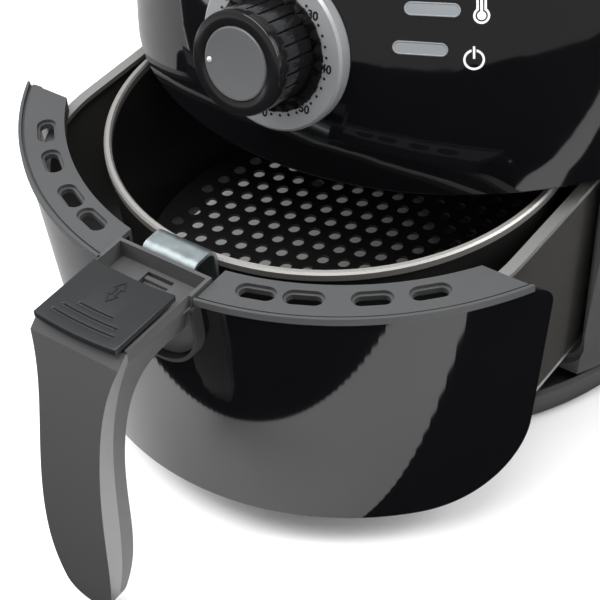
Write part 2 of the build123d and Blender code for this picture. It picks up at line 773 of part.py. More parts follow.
def base_tray_piece():
    floor_z = plinth_base + plinth_wall
    hollow = oval_form(plinth_levels, plinth_wall) & block(-FAR, FAR, -FAR, FAR, floor_z, FAR)
    shape = oval_form(plinth_levels) - hollow
    vent = extrude(SlotOverall(vent_length, vent_width), 2 * plinth_wall, both=True)
    for row in range(vent_rows):
        for column in range(vent_columns):
            x = vent_pitch_x * (column - (vent_columns - 1) / 2)
            shape -= Pos(x, vent_front_y + vent_pitch_y * row, plinth_base) * vent
    return shape - Pos(0, plinth_rear, gland_z) * Rot(90, 0, 0) * Cylinder(gland_radius, 2 * gland_length)


def cord_gland_piece():
    """Rubber bushing in the plinth's back wall, where the supply cord goes in."""
    outside = plinth_rear + seat_gap
    across = Pos(0, outside, gland_z) * Rot(90, 0, 0)
    sleeve_middle = gland_length / 2 - gland_flange_height
    sleeve = across * Pos(0, 0, sleeve_middle) * Cylinder(gland_radius - 0.02, gland_length)
    flange = across * Pos(0, 0, -gland_flange_height / 2) * Cylinder(gland_flange, gland_flange_height)
    return sleeve + flange - across * Cylinder(gland_bore, 4 * gland_length)


def rubber_feet_piece():
    feet = []
    for x in (-foot_x, foot_x):
        for y in (foot_front_y, foot_rear_y):
            pad = post(foot_radius, plinth_base - foot_height, plinth_base, x, y)
            feet.append(chamfer(pad.edges().group_by(Axis.Z)[0], foot_bevel))
    return Compound(feet)


def drawer_frame_piece(shell):
    """Frame round the opening, dished so that the drawer front closes into it."""
    inset = housing_wall + frame_seat_gap
    body = front_form(front_wall + frame_gap + frame_seat_gap, drawer_out)
    body &= oval_form(housing_levels, inset, inset)
    body &= block(-FAR, FAR, frame_front_y, housing_front_y + flange_depth, front_bottom, front_top - 1)
    body -= opening_form(0, frame_front_y - 10, housing_front_y + 30)
    body -= opening_form(frame_step, frame_front_y - 10, frame_front_y + frame_step_depth)
    return body - shell


def cavity_liner_piece():
    """Sheet metal box round the shut pan, open at the front and under the heater."""
    front = housing_front_y + flange_depth + slide_gap
    low_half = opening_low_half + 2 * slide_gap
    high_half = low_half + opening_lean_per_mm() * (liner_top - opening_bottom)
    low_rear = liner_rear - liner_lean
    high_corner = liner_corner + liner_corner_gain
    outer = rounded_form(
        (opening_bottom - liner_sheet, low_half + liner_sheet, -FAR, low_rear + liner_sheet, liner_corner),
        (liner_top, high_half + liner_sheet, -FAR, liner_rear + liner_sheet, high_corner))
    inner = rounded_form(
        (opening_bottom, low_half, -FAR, low_rear, liner_corner - liner_sheet),
        (liner_top - liner_sheet, high_half, -FAR, liner_rear, high_corner - liner_sheet))
    shape = outer - inner
    shape &= block(-FAR, FAR, front, FAR, -FAR, FAR)
    shape -= post(chamber_radius - sheet, liner_top - 5, liner_top + 5, 0, chamber_y)
    return shape - duct_block(duct_inner_gap, chamber_y + chamber_radius, FAR)


# ---- heating and air -------------------------------------------------------------------
def heat_chamber_piece():
    low = liner_top + press_gap
    wall = post(chamber_radius, low, chamber_top, 0, chamber_y)
    wall -= post(chamber_radius - sheet, low - 1, chamber_top - sheet, 0, chamber_y)
    flange = post(chamber_flange, low, low + sheet, 0, chamber_y)
    flange -= post(chamber_radius - sheet, low - 1, low + 5, 0, chamber_y)
    shape = wall + flange
    return shape - shaft_and_post_holes(chamber_top)


coil_post_y = chamber_y + sqrt(coil_radii[-1] ** 2 - coil_post_x ** 2)


def shaft_and_post_holes(z):
    """Holes in a level sheet for the motor's shaft and the two heater posts."""
    holes = post(shaft_radius + hub_room, z - 5, z + 5, 0, chamber_y)
    for x in (-coil_post_x, coil_post_x):
        holes += post(coil_tube + seat_gap, z - 5, z + 5, x, coil_post_y)
    return holes


def heating_coil_piece():
    """Three flattened rings of heater tube, bridged, with two posts up through the chamber."""
    low = coil_z - coil_tube
    shape = None
    for radius in coil_radii:
        band = Circle(radius + coil_tube) - Circle(radius - coil_tube)
        ring = Pos(0, chamber_y, low) * extrude(band, 2 * coil_tube)
        shape = ring if shape is None else shape + ring
    for inner, outer in zip(coil_radii, coil_radii[1:]):
        for turn in coil_bridge_turns:
            bar = Pos((inner + outer) / 2, 0, 0) * Box(outer - inner, 1.6 * coil_tube, 1.6 * coil_tube)
            shape += Pos(0, chamber_y, coil_z) * Rot(0, 0, turn) * bar
    for x in (-coil_post_x, coil_post_x):
        shape += post(coil_tube * 0.8, coil_z, chamber_top + 4.5, x, coil_post_y)
    return shape


def coil_guard_piece():
    """Wire rings and three crossing bars under the heater."""
    shape = None
    for index in range(guard_rings):
        radius = guard_outer * (index + 1) / guard_rings
        ring = Pos(0, chamber_y, guard_z) * Torus(radius, guard_wire)
        shape = ring if shape is None else shape + ring
    for turn in (0, 60, 120):
        bar = Rot(0, 90, 0) * Cylinder(guard_wire, 2 * guard_outer)
        shape += Pos(0, chamber_y, guard_z) * Rot(0, 0, turn) * bar
    return shape


def convection_fan_piece():
    return Pos(0, chamber_y, fan_z) * rotor(fan_radius, fan_blades, fan_height, fan_blade_width)


def cooling_fan_piece():
    fan = rotor(cooling_fan_radius, cooling_fan_blades, cooling_fan_height, cooling_blade_width)
    return Pos(0, chamber_y, cooling_fan_z) * fan


def motor_shaft_piece():
    return post(shaft_radius - 0.01, fan_z - 3, motor_high + shaft_overhang, 0, chamber_y)


def heat_shield_piece():
    """Sheet over the chamber that keeps its heat from the motor."""
    low = chamber_top + 2 * press_gap
    return post(shield_radius, low, low + sheet, 0, chamber_y) - shaft_and_post_holes(low)


def motor_bracket_piece():
    """Bridge over the heat shield that carries the motor."""
    y0 = chamber_y - bracket_half_width
    y1 = chamber_y + bracket_half_width
    top = bracket_z + bracket_sheet
    shape = block(-bracket_reach, bracket_reach, y0, y1, bracket_z, top)
    for side in (-1, 1):
        near, far = sorted((side * (bracket_reach - bracket_sheet), side * bracket_reach))
        shape += block(near, far, y0, y1, chamber_top + sheet + slide_gap, top)
        shape -= post(screw_shank, bracket_z - 5, top + 5, side * screw_x, chamber_y)
    return shape - post(shaft_radius + hub_room, bracket_z - 5, top + 5, 0, chamber_y)


def motor_piece():
    body = post(motor_radius, motor_low, motor_high, 0, chamber_y)
    body = chamfer(body.edges().group_by(Axis.Z)[-1], motor_bevel)
    body += post(motor_boss_radius, bracket_z + bracket_sheet + 2 * press_gap, motor_low, 0, chamber_y)
    body += post(motor_boss_radius - 1, motor_high, motor_high + motor_cap_height, 0, chamber_y)
    return body - post(shaft_radius + running_gap, bracket_z, motor_high + 10, 0, chamber_y)


# ---- controls ---------------------------------------------------------------------------
def dial_plate_piece():
    plate = Pos(0, 0, -dial_depth / 2) * Cylinder(dial_radius, dial_depth)
    plate = chamfer(plate.edges().group_by(Axis.Z)[-1], dial_bevel)
    plate -= Cylinder(spindle_radius + running_gap, 4 * dial_depth)
    return dial_plane() * plate


def fluted_knob(radius, height):
    """Knob standing on z = 0, with a bevelled face and grooves up its side."""
    foot = (Align.CENTER, Align.CENTER, Align.MIN)
    knob = Cylinder(radius, height, align=foot)
    knob = chamfer(knob.edges().group_by(Axis.Z)[-1], knob_bevel)
    flute = Pos(radius + flute_offset, 0, -1) * Cylinder(flute_radius, height - flute_stop + 1, align=foot)
    for index in range(knob_flutes):
        knob -= Rot(0, 0, 360 * (index + 0.5) / knob_flutes) * flute
    return knob - Pos(0, 0, -1) * Cylinder(spindle_radius, height - spindle_stop + 1, align=foot)


def timer_knob_piece():
    knob = Pos(0, 0, knob_gap) * fluted_knob(knob_radius, knob_height - knob_gap)
    knob -= Pos(0, 0, knob_height) * Cylinder(knob_cap_radius, 2 * knob_cap_depth)
    return dial_plane() * knob


def timer_knob_cap_piece():
    low = knob_height - knob_cap_depth + press_gap
    cap = Pos(0, 0, low) * Cylinder(
        knob_cap_radius - 2 * press_gap, knob_cap_height, align=(Align.CENTER, Align.CENTER, Align.MIN))
    cap = fillet(cap.edges().group_by(Axis.Z)[-1], knob_cap_round)
    return dial_plane() * cap


def timer_spindle_piece():
    low = -dial_depth - spindle_inside
    high = knob_height - spindle_stop - 2 * press_gap
    return dial_plane() * Pos(0, 0, (low + high) / 2) * Cylinder(spindle_radius - 0.01, high - low)


def timer_body_piece():
    low = -dial_depth - slide_gap
    box = Pos(0, 0, low - timer_depth / 2) * Box(timer_size, timer_size, timer_depth)
    return dial_plane() * (box - Pos(0, 0, low) * Cylinder(spindle_radius + running_gap, 4 * timer_depth))


def lamp_board_piece(form):
    """Small circuit board behind the cover, with one lamp behind each lens."""
    upper = lamp_plane(form, lamp_places[0])
    lower = lamp_plane(form, lamp_places[1])
    middle = (upper.origin + lower.origin) / 2
    back = -housing_wall - lamp_root - press_gap
    place = Plane(origin=middle, x_dir=upper.x_dir, z_dir=upper.z_dir)
    board = place * Pos(0, 0, back - lamp_stem - 0.2) * Box(*lamp_board_size)
    for lens in (upper, lower):
        board += lens * Pos(0, 0, back - lamp_stem / 2) * Cylinder(lamp_radius, lamp_stem)
    return board


def heat_knob_piece():
    return Pos(0, heat_knob_y, body_top - heat_seat_depth + heat_knob_lift) * fluted_knob(
        heat_knob_radius, heat_knob_height)


def heat_spindle_piece():
    low = body_top - housing_wall - thermostat_height + 3.0
    high = body_top - heat_seat_depth + heat_knob_lift + heat_knob_height - spindle_stop - 2 * press_gap
    return post(spindle_radius - 0.01, low, high, 0, heat_knob_y)


def thermostat_piece():
    half_x, half_y = thermostat_half
    top = body_top - housing_wall - slide_gap
    box = block(-half_x, half_x, heat_knob_y - half_y, heat_knob_y + half_y, top - thermostat_height, top)
    return box - post(spindle_radius + running_gap, top - 2 * thermostat_height, FAR, 0, heat_knob_y)


def safety_switch_piece():
    """Switch that feels whether the drawer is shut."""
    half_x, half_y = switch_half
    box = block(switch_x - half_x, switch_x + half_x, switch_y - half_y, switch_y + half_y,
                switch_low, switch_low + switch_height)
    half_x, half_y = switch_plunger_half
    plunger = block(switch_x - half_x, switch_x + half_x, switch_y - half_y, switch_y + half_y,
                    switch_low - switch_plunger, switch_low)
    return box + plunger


def terminal_block_piece():
    half_x, half_y = terminal_half
    low = plinth_base + plinth_wall + press_gap
    high = low + terminal_height
    box = block(terminal_x - half_x, terminal_x + half_x, terminal_y - half_y, terminal_y + half_y, low, high)
    for x in (terminal_x - terminal_pitch, terminal_x, terminal_x + terminal_pitch):
        box -= post(terminal_hole_radius, high - terminal_hole_depth, high + 1, x, terminal_y)
    return box


# ---- fasteners -----------------------------------------------------------------------------
def motor_screws_piece():
    face = bracket_z + bracket_sheet + press_gap
    return Compound([screw(side * screw_x, chamber_y, face) for side in (-1, 1)])


pieces = {}


def build():
    form = oval_form(housing_levels)
    hollow = oval_form(housing_levels, housing_wall, housing_wall)
    pieces["basket_wall"] = basket_wall_piece()
    pieces["basket_floor"] = basket_floor_piece()
    pieces["basket_feet"] = basket_feet_piece()
    pieces["hook_bracket"] = hook_bracket_piece()
    pieces["bracket_rivets"] = bracket_rivets_piece()
    pieces["handle_shell"] = handle_shell_piece()
    pieces["handle_front_plate"] = handle_front_plate_piece()
    pieces["release_cover"] = release_cover_piece()
    pieces["release_button"] = release_button_piece()
    pieces["latch_lever"] = latch_lever_piece()
    pieces["lever_pin"] = lever_pin_piece()
    pieces["button_spring"] = button_spring_piece()
    pieces["pan"] = pan_piece()
    pieces["drawer_front"] = drawer_front_piece()
    pieces["trim_left"] = drawer_trim_piece(-1)
    pieces["trim_right"] = drawer_trim_piece(1)
    pieces["handle_socket"] = handle_socket_piece()
    pieces["housing_shell"] = housing_shell_piece(form, hollow)
    pieces["front_cover"] = front_cover_piece(form, hollow)
    pieces["top_cap"] = top_cap_piece(form, hollow)
    pieces["base_tray"] = base_tray_piece()
    pieces["cord_gland"] = cord_gland_piece()
    pieces["rubber_feet"] = rubber_feet_piece()
    pieces["drawer_frame"] = drawer_frame_piece(pieces["housing_shell"])
    pieces["cavity_liner"] = cavity_liner_piece()
    pieces["outlet_grille"] = outlet_grille_piece()
    pieces["exhaust_duct"] = exhaust_duct_piece(hollow)
    pieces["heat_chamber"] = heat_chamber_piece()
    pieces["heating_coil"] = heating_coil_piece()
    pieces["coil_guard"] = coil_guard_piece()
    pieces["convection_fan"] = convection_fan_piece()
    pieces["cooling_fan"] = cooling_fan_piece()
    pieces["motor_shaft"] = motor_shaft_piece()
    pieces["heat_shield"] = heat_shield_piece()
    pieces["motor_bracket"] = motor_bracket_piece()
    pieces["motor"] = motor_piece()
    pieces["dial_plate"] = dial_plate_piece()
    pieces["timer_knob"] = timer_knob_piece()
    pieces["timer_knob_cap"] = timer_knob_cap_piece()
    pieces["timer_spindle"] = timer_spindle_piece()
    pieces["timer_body"] = timer_body_piece()
    pieces["lamp_lens_upper"] = lamp_lens_piece(form, lamp_places[0])
    pieces["lamp_lens_lower"] = lamp_lens_piece(form, lamp_places[1])
    pieces["lamp_board"] = lamp_board_piece(form)
    pieces["heat_knob"] = heat_knob_piece()
    pieces["heat_spindle"] = heat_spindle_piece()
    pieces["thermostat"] = thermostat_piece()
    pieces["safety_switch"] = safety_switch_piece()
    pieces["terminal_block"] = terminal_block_piece()
    pieces["motor_screws"] = motor_screws_piece()


build()
whole = Compound(list(pieces.values())).bounding_box()
origin = Location((0, -(whole.min.Y + whole.max.Y) / 2, -whole.min.Z))
os.makedirs("parts", exist_ok=True)
for node, piece in pieces.items():
    export_step(piece.moved(origin), f"parts/{node}.step")
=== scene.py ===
import json
from math import cos, pi, radians, sin

import bmesh
import bpy
from mathutils import Matrix, Vector


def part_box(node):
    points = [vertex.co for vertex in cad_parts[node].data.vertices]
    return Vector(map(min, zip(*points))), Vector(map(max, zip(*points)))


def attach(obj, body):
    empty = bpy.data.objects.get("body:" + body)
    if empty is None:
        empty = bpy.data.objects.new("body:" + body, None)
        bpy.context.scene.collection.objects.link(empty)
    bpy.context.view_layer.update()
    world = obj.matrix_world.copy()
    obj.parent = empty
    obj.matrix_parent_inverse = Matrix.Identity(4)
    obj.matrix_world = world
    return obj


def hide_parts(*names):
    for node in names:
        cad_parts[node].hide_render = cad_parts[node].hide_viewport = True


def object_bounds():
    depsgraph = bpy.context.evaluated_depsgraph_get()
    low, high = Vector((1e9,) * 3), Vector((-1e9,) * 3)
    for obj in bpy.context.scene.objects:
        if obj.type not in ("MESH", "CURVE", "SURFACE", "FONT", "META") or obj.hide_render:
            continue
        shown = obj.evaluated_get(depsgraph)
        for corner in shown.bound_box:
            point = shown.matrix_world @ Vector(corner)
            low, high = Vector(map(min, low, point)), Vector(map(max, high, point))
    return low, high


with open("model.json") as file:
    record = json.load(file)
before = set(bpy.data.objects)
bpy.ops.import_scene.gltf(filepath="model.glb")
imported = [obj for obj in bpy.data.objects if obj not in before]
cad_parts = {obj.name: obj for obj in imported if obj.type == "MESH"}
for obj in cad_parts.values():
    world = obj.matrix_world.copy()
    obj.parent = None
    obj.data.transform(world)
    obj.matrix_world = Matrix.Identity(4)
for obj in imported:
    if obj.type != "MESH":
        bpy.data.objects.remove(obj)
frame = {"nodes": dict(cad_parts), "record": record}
cad_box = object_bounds()
joints = {joint["name"]: joint for joint in frame["record"]["behaviour"]["joints"]}

# ---- Camera, lights and table ------------------------------------------------------
# The fryer stands on a seamless white table under a wide overhead softbox, with a large
# softbox over the left shoulder and a strip light on the right.
basket_low, basket_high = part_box("basket_wall")
rim_centre = Vector((
    (basket_low[0] + basket_high[0]) / 2,
    (basket_low[1] + basket_high[1]) / 2,
    basket_high[2],
))

camera_data = bpy.data.cameras.new("camera")
camera_data.lens = 102.9
camera_data.sensor_width = 36.0
camera_data.clip_end = 20.0
camera = bpy.data.objects.new("camera", camera_data)
bpy.context.collection.objects.link(camera)
camera.matrix_world = (
    Matrix.Translation(rim_centre + Vector((0.3520, -0.4672, 0.4303)))
    @ Matrix.Rotation(radians(39.32), 4, "Z")
    @ Matrix.Rotation(radians(90.0 - 42.34), 4, "X")
    @ Matrix.Rotation(radians(-5.13), 4, "Z")
)
bpy.context.scene.camera = camera


def softbox(name, place, aim, width, height, power):
    data = bpy.data.lights.new(name, "AREA")
    data.shape = "RECTANGLE"
    data.size = width
    data.size_y = height
    data.energy = power
    lamp = bpy.data.objects.new(name, data)
    bpy.context.collection.objects.link(lamp)
    lamp.location = place
    lamp.rotation_euler = (Vector(aim) - Vector(place)).to_track_quat("-Z", "Y").to_euler()
    return lamp


# the left softbox is hidden from glossy rays, as if behind a screen, so that the gloss parts do not mirror
# it
left_softbox = softbox("left_softbox", (-1.3, -0.5, 1.0), (0.0, 0.0, 0.12), 0.9, 1.1, 30.0)
left_softbox.visible_glossy = False
softbox("right_strip", (1.4, 0.5, 1.1), (0.0, 0.0, 0.15), 0.4, 1.2, 18.0)
softbox("overhead", (0.0, -0.35, 1.7), (0.0, -0.05, 0.1), 1.5, 1.3, 30.0)

studio_air = bpy.data.worlds.new("studio_air")
bpy.context.scene.world = studio_air
studio_air.use_nodes = True
air = studio_air.node_tree.nodes["Background"]
air.inputs["Color"].default_value = (1.0, 1.0, 1.0, 1.0)
air.inputs["Strength"].default_value = 0.5
bpy.context.scene.view_settings.view_transform = "Standard"


class Shade:
    """A number that varies over a surface; sums and products of shades lay Math nodes."""

    def __init__(self, socket):
        self.socket = socket

    def math(self, operation, *values):
        tree = self.socket.id_data
        step = tree.nodes.new("ShaderNodeMath")
        step.operation = operation
        for place, value in enumerate(values):
            if isinstance(value, Shade):
                tree.links.new(value.socket, step.inputs[place])
            else:
                step.inputs[place].default_value = value
        return Shade(step.outputs[0])

    def __add__(self, other):
        return self.math("ADD", self, other)

    def __radd__(self, other):
        return self.math("ADD", other, self)

    def __sub__(self, other):
        return self.math("SUBTRACT", self, other)

    def __rsub__(self, other):
        return self.math("SUBTRACT", other, self)

    def __mul__(self, other):
        return self.math("MULTIPLY", self, other)

    def __rmul__(self, other):
        return self.math("MULTIPLY", other, self)

    def ramp(self, low, high):
        """0 below low, 1 above high, straight between."""
        tree = self.socket.id_data
        step = tree.nodes.new("ShaderNodeMapRange")
        tree.links.new(self.socket, step.inputs["Value"])
        step.inputs["From Min"].default_value = low
        step.inputs["From Max"].default_value = high
        return Shade(step.outputs["Result"])


class Finish:
    """One material, built on the piece's own coordinates."""

    def __init__(self, name):
        self.material = bpy.data.materials.new(name)
        self.material.use_nodes = True
        self.tree = self.material.node_tree
        self.shader = self.tree.nodes["Principled BSDF"]
        self.place = Shade(self.node("ShaderNodeTexCoord", "Object").socket)

    def node(self, kind, output, settings=None, inputs=None):
        made = self.tree.nodes.new(kind)
        for setting, value in (settings or {}).items():
            setattr(made, setting, value)
        for socket_name, value in (inputs or {}).items():
            if isinstance(value, Shade):
                self.tree.links.new(value.socket, made.inputs[socket_name])
            else:
                made.inputs[socket_name].default_value = value
        return Shade(made.outputs[output])

    def noise(self, scale, detail=3.0, stretch=(1.0, 1.0, 1.0)):
        spread = self.node("ShaderNodeMapping", "Vector", None, {"Vector": self.place, "Scale": stretch})
        return self.node(
            "ShaderNodeTexNoise", 0, None, {"Vector": spread, "Scale": scale, "Detail": detail})

    def axis(self, name):
        return self.node("ShaderNodeSeparateXYZ", name, None, {"Vector": self.place})

    def blend(self, amount, first, second):
        sockets = {0: amount}
        for place, colour in ((6, first), (7, second)):
            sockets[place] = colour if isinstance(colour, Shade) else (*colour, 1.0)
        return self.node("ShaderNodeMix", 2, {"data_type": "RGBA"}, sockets)

    def set(self, **values):
        for name, value in values.items():
            socket = self.shader.inputs[name.replace("_", " ")]
            if isinstance(value, Shade):
                self.tree.links.new(value.socket, socket)
            elif isinstance(value, tuple):
                socket.default_value = (*value, 1.0)
            else:
                socket.default_value = value

    def bump(self, height, distance, strength=1.0):
        self.set(Normal=self.node("ShaderNodeBump", "Normal", None, {
            "Height": height, "Distance": distance, "Strength": strength}))


def lacquered_table():
    top = Finish("table_top")
    top.set(Base_Color=top.blend(top.noise(6.0), (0.95, 0.95, 0.95), (0.98, 0.98, 0.98)), Roughness=0.9)
    top.shader.inputs["Specular IOR Level"].default_value = 0.1
    return top.material


bpy.ops.object.select_all(action="DESELECT")
bpy.ops.mesh.primitive_plane_add(size=6.0, location=(0.0, 0.0, cad_box[0][2]))
table = bpy.context.object
table.name = "table"
bpy.ops.object.transform_apply(location=True, rotation=True, scale=True)
table.data.materials.append(lacquered_table())

# three flags lie on the table out of the camera's sight: black ones ahead of the drawer and
# to its right, with a strip of bright table between them, and a grey one to its left; the
# gloss black parts mirror them
def felt(name, dark, light):
    cloth = Finish(name)
    cloth.set(Base_Color=cloth.blend(cloth.noise(400.0), dark, light), Roughness=1.0)
    cloth.shader.inputs["Specular IOR Level"].default_value = 0.0
    return cloth.material


black_felt = felt("black_felt", (0.002, 0.002, 0.002), (0.006, 0.006, 0.006))
grey_felt = felt("grey_felt", (0.30, 0.30, 0.30), (0.36, 0.36, 0.36))


def lay_flag(name, cloth, low_x, high_x, low_y, high_y):
    bpy.ops.object.select_all(action="DESELECT")
    bpy.ops.mesh.primitive_plane_add(
        size=1.0, location=((low_x + high_x) / 2, (low_y + high_y) / 2, cad_box[0][2] + 0.0005))
    flag = bpy.context.object
    flag.name = name
    flag.scale = (high_x - low_x, high_y - low_y, 1.0)
    bpy.ops.object.transform_apply(location=True, rotation=True, scale=True)
    flag.data.materials.append(cloth)
    flag.visible_camera = False
    flag.visible_diffuse = False
    flag.visible_shadow = False


drawer_edge_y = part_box("drawer_front")[0][1]
# the bright strip runs from 49 mm ahead of the drawer's foremost edge to 19 mm behind it
lay_flag("flag_ahead", black_felt, -0.9, 2.9, drawer_edge_y - 2.8, drawer_edge_y - 0.049)
lay_flag("flag_right", black_felt, 0.080, 2.9, drawer_edge_y + 0.019, drawer_edge_y + 0.60)
lay_flag("flag_left", grey_felt, -2.9, -0.15, drawer_edge_y - 0.045, drawer_edge_y + 2.0)


# ---- Base with its feet and cord gland -------------------------------------------------
# A shallow polypropylene tray closes the body underneath. Four rubber pads are glued to it
# and a rubber gland is pressed into its back wall.
def dress(material, *nodes):
    """Gives CAD pieces whose shape is right their finish."""
    for name in nodes:
        slots = frame["nodes"][name].data.materials
        slots.clear()
        slots.append(material)


def moulded(name, dark, light, rough, grain=0.35, shine=0.5, metal=0.0):
    """Satin moulding with a fine spark-eroded grain and slight clouding."""
    skin = Finish(name)
    cloud = skin.noise(45.0)
    speck = skin.noise(2600.0, 2.0)
    skin.set(
        Base_Color=skin.blend(cloud * 0.6 + speck * 0.4, dark, light),
        Roughness=rough - 0.06 + cloud * 0.08 + speck * 0.04,
        Metallic=metal,
    )
    skin.shader.inputs["Specular IOR Level"].default_value = shine
    skin.bump(speck, 0.00004, grain)
    return skin.material


body_satin = moulded("body_satin", (0.062, 0.062, 0.063), (0.078, 0.078, 0.079), 0.40)
rubber = moulded("soft_rubber", (0.012, 0.012, 0.012), (0.02, 0.02, 0.02), 0.75, 0.6, 0.25)
dress(body_satin, "base_tray")
dress(rubber, "rubber_feet", "cord_gland")

# ---- Rear shell and the frame round the drawer opening ---------------------------------
# Satin dark grey ABS. The shell wraps the back and sides, and the dished frame that the
# drawer closes into is clipped inside its front edge.
dress(body_satin, "housing_shell", "drawer_frame")


# ---- Front cover and top cap -----------------------------------------------------------
# High gloss black ABS. The cover clips over the front of the body and its lower edge is
# rolled inwards; the cap closes the top.
def polished(name, dark, light, rough, shine):
    """High gloss moulding: nearly mirror smooth, with faint ripple and a wiping haze."""
    skin = Finish(name)
    haze = skin.noise(14.0, 4.0)
    skin.set(Base_Color=skin.blend(haze, dark, light), Roughness=rough + haze * 0.03)
    skin.shader.inputs["Specular IOR Level"].default_value = shine
    skin.bump(skin.noise(60.0, 1.0), 0.00005, 0.04)
    return skin.material


gloss_black = polished("gloss_black", (0.0025, 0.0025, 0.003), (0.005, 0.005, 0.006), 0.035, 0.5)
dress(gloss_black, "front_cover", "top_cap")

cover_low, cover_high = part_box("front_cover")
shell_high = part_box("housing_shell")[1]
# the cover's rim is an oval whose rear half belongs to the shell
rim_half_width = cover_high[0]
rim_half_depth = (shell_high[1] - cover_low[1]) / 2
rim_middle = (shell_high[1] + cover_low[1]) / 2
lip_radius = 0.0009
lip_end_room = 0.0004        # the lip stops this far short of the cover's rear edge
bpy.ops.object.select_all(action="DESELECT")
bpy.ops.mesh.primitive_torus_add(
    major_radius=1.0, minor_radius=lip_radius, major_segments=360, minor_segments=12,
    location=(0.0, 0.0, 0.0))
cover_lip = bpy.context.object
cover_lip.name = "cover_lip"
for corner in cover_lip.data.vertices:
    flat = Vector((corner.co.x, corner.co.y, 0.0))
    turn = flat.normalized()
    ring = Vector((turn.x * (rim_half_width - lip_radius), turn.y * (rim_half_depth - lip_radius), 0.0))
    normal = Vector((turn.x / rim_half_width, turn.y / rim_half_depth, 0.0)).normalized()
    swell = flat.length - 1.0
    corner.co = ring + normal * swell + Vector((0.0, rim_middle, cover_low[2] + corner.co.z))
bpy.ops.object.mode_set(mode="EDIT")
bpy.ops.mesh.select_all(action="SELECT")
bpy.ops.mesh.bisect(plane_co=(0.0, cover_high[1] - lip_end_room, 0.0), plane_no=(0.0, 1.0, 0.0),
                    clear_outer=True, use_fill=True)
bpy.ops.mesh.select_all(action="SELECT")
bpy.ops.mesh.normals_make_consistent(inside=False)
bpy.ops.object.mode_set(mode="OBJECT")
bpy.ops.object.shade_smooth_by_angle(angle=radians(40.0))
cover_lip.data.materials.append(gloss_black)
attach(cover_lip, "housing")

# ---- Dial plate and its print -------------------------------------------------------------
# A satin silver disc with a turned edge is glued into the cover. Minutes are pad printed
# on it in black, with a dot for every two minutes between the tens.
def stand_at(place, out):
    """Placing for a part made flat on z = 0: z turned to face out, with x kept level."""
    right = Vector((0.0, 0.0, 1.0)).cross(out).normalized()
    up = out.cross(right)
    return Matrix((
        (right.x, up.x, out.x, place[0]),
        (right.y, up.y, out.y, place[1]),
        (right.z, up.z, out.z, place[2]),
        (0.0, 0.0, 0.0, 1.0),
    ))


dial_joint = joints["timer_dial_turn"]
dial_stand = stand_at(dial_joint["pos_m"], -Vector(dial_joint["axis"]).normalized())

dial_metal = Finish("dial_satin")
across = dial_metal.noise(30.0)
brushed = dial_metal.noise(1500.0, 2.0)
dial_metal.set(
    Base_Color=dial_metal.blend(across * 0.5 + brushed * 0.5, (0.34, 0.35, 0.36), (0.44, 0.45, 0.46)),
    Roughness=0.34 + brushed * 0.1, Metallic=0.55)
dial_metal.bump(brushed, 0.00002, 0.4)
dress(dial_metal.material, "dial_plate")

print_black = moulded("print_black", (0.004, 0.004, 0.004), (0.008, 0.008, 0.008), 0.6, 0.1, 0.3)
print_thickness = 0.00012


def settle(piece, stand):
    """Sets a finished mesh in its place, with its object at the origin."""
    piece.data.transform(stand)
    piece.matrix_world = Matrix.Identity(4)
    piece.data.update()


def lettering(name, text, size, weight):
    """Flat figures as a mesh, centred on their own middle, thickened to a printed layer."""
    bpy.ops.object.select_all(action="DESELECT")
    bpy.ops.object.text_add(location=(0.0, 0.0, 0.0))
    letters = bpy.context.object
    letters.data.body = text
    letters.data.size = size
    letters.data.align_x = "CENTER"
    letters.data.align_y = "CENTER"
    letters.data.offset = weight
    letters.data.extrude = print_thickness / 2
    bpy.ops.object.convert(target="MESH")
    letters.name = name
    bpy.ops.object.mode_set(mode="EDIT")
    bpy.ops.mesh.select_all(action="SELECT")
    bpy.ops.mesh.remove_doubles(threshold=0.000005)
    bpy.ops.mesh.normals_make_consistent(inside=False)
    bpy.ops.object.mode_set(mode="OBJECT")
    xs = [corner.co.x for corner in letters.data.vertices]
    ys = [corner.co.y for corner in letters.data.vertices]
    middle = Vector(((min(xs) + max(xs)) / 2, (min(ys) + max(ys)) / 2, 0.0))
    letters.data.transform(Matrix.Translation(-middle))
    return letters


def join(name, pieces):
    bpy.ops.object.select_all(action="DESELECT")
    for piece in pieces:
        piece.select_set(True)
    bpy.context.view_layer.objects.active = pieces[0]
    bpy.ops.object.join()
    joined = bpy.context.object
    joined.name = name
    return joined


figure_radius = 0.0263
figure_size = 0.0048
figure_weight = 0.00014
zero_angle = -95.6           # degrees clockwise from the top
ten_minutes = 46.3
figures = []
for count, minutes in enumerate(("0", "10", "20", "30", "40", "50", "60")):
    turn = radians(zero_angle + ten_minutes * count)
    figure = lettering("figure", minutes, figure_size, figure_weight)
    figure.data.transform(Matrix.Translation((figure_radius * sin(turn), figure_radius * cos(turn), 0.0)))
    figures.append(figure)
dial_figures = join("dial_figures", figures)
dial_figures.data.transform(Matrix.Translation((0.0, 0.0, print_thickness / 2)))
settle(dial_figures, dial_stand)
dial_figures.data.materials.clear()
dial_figures.data.materials.append(print_black)
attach(dial_figures, "housing")

dot_radius = 0.00060
dots = []
for step in range(31):
    if step % 5:
        turn = radians(zero_angle + ten_minutes * step / 5)
        bpy.ops.mesh.primitive_cylinder_add(
            vertices=20, radius=dot_radius, depth=print_thickness,
            location=(figure_radius * sin(turn), figure_radius * cos(turn), print_thickness / 2))
        bpy.ops.object.transform_apply(location=True, rotation=True, scale=True)
        bpy.ops.object.mode_set(mode="EDIT")
        bpy.ops.mesh.select_all(action="SELECT")
        bpy.ops.mesh.bevel(offset=0.00003, segments=1, affect="EDGES")
        bpy.ops.object.mode_set(mode="OBJECT")
        dots.append(bpy.context.object)
dial_dots = join("dial_dots", dots)
settle(dial_dots, dial_stand)
dial_dots.data.materials.append(print_black)
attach(dial_dots, "housing")

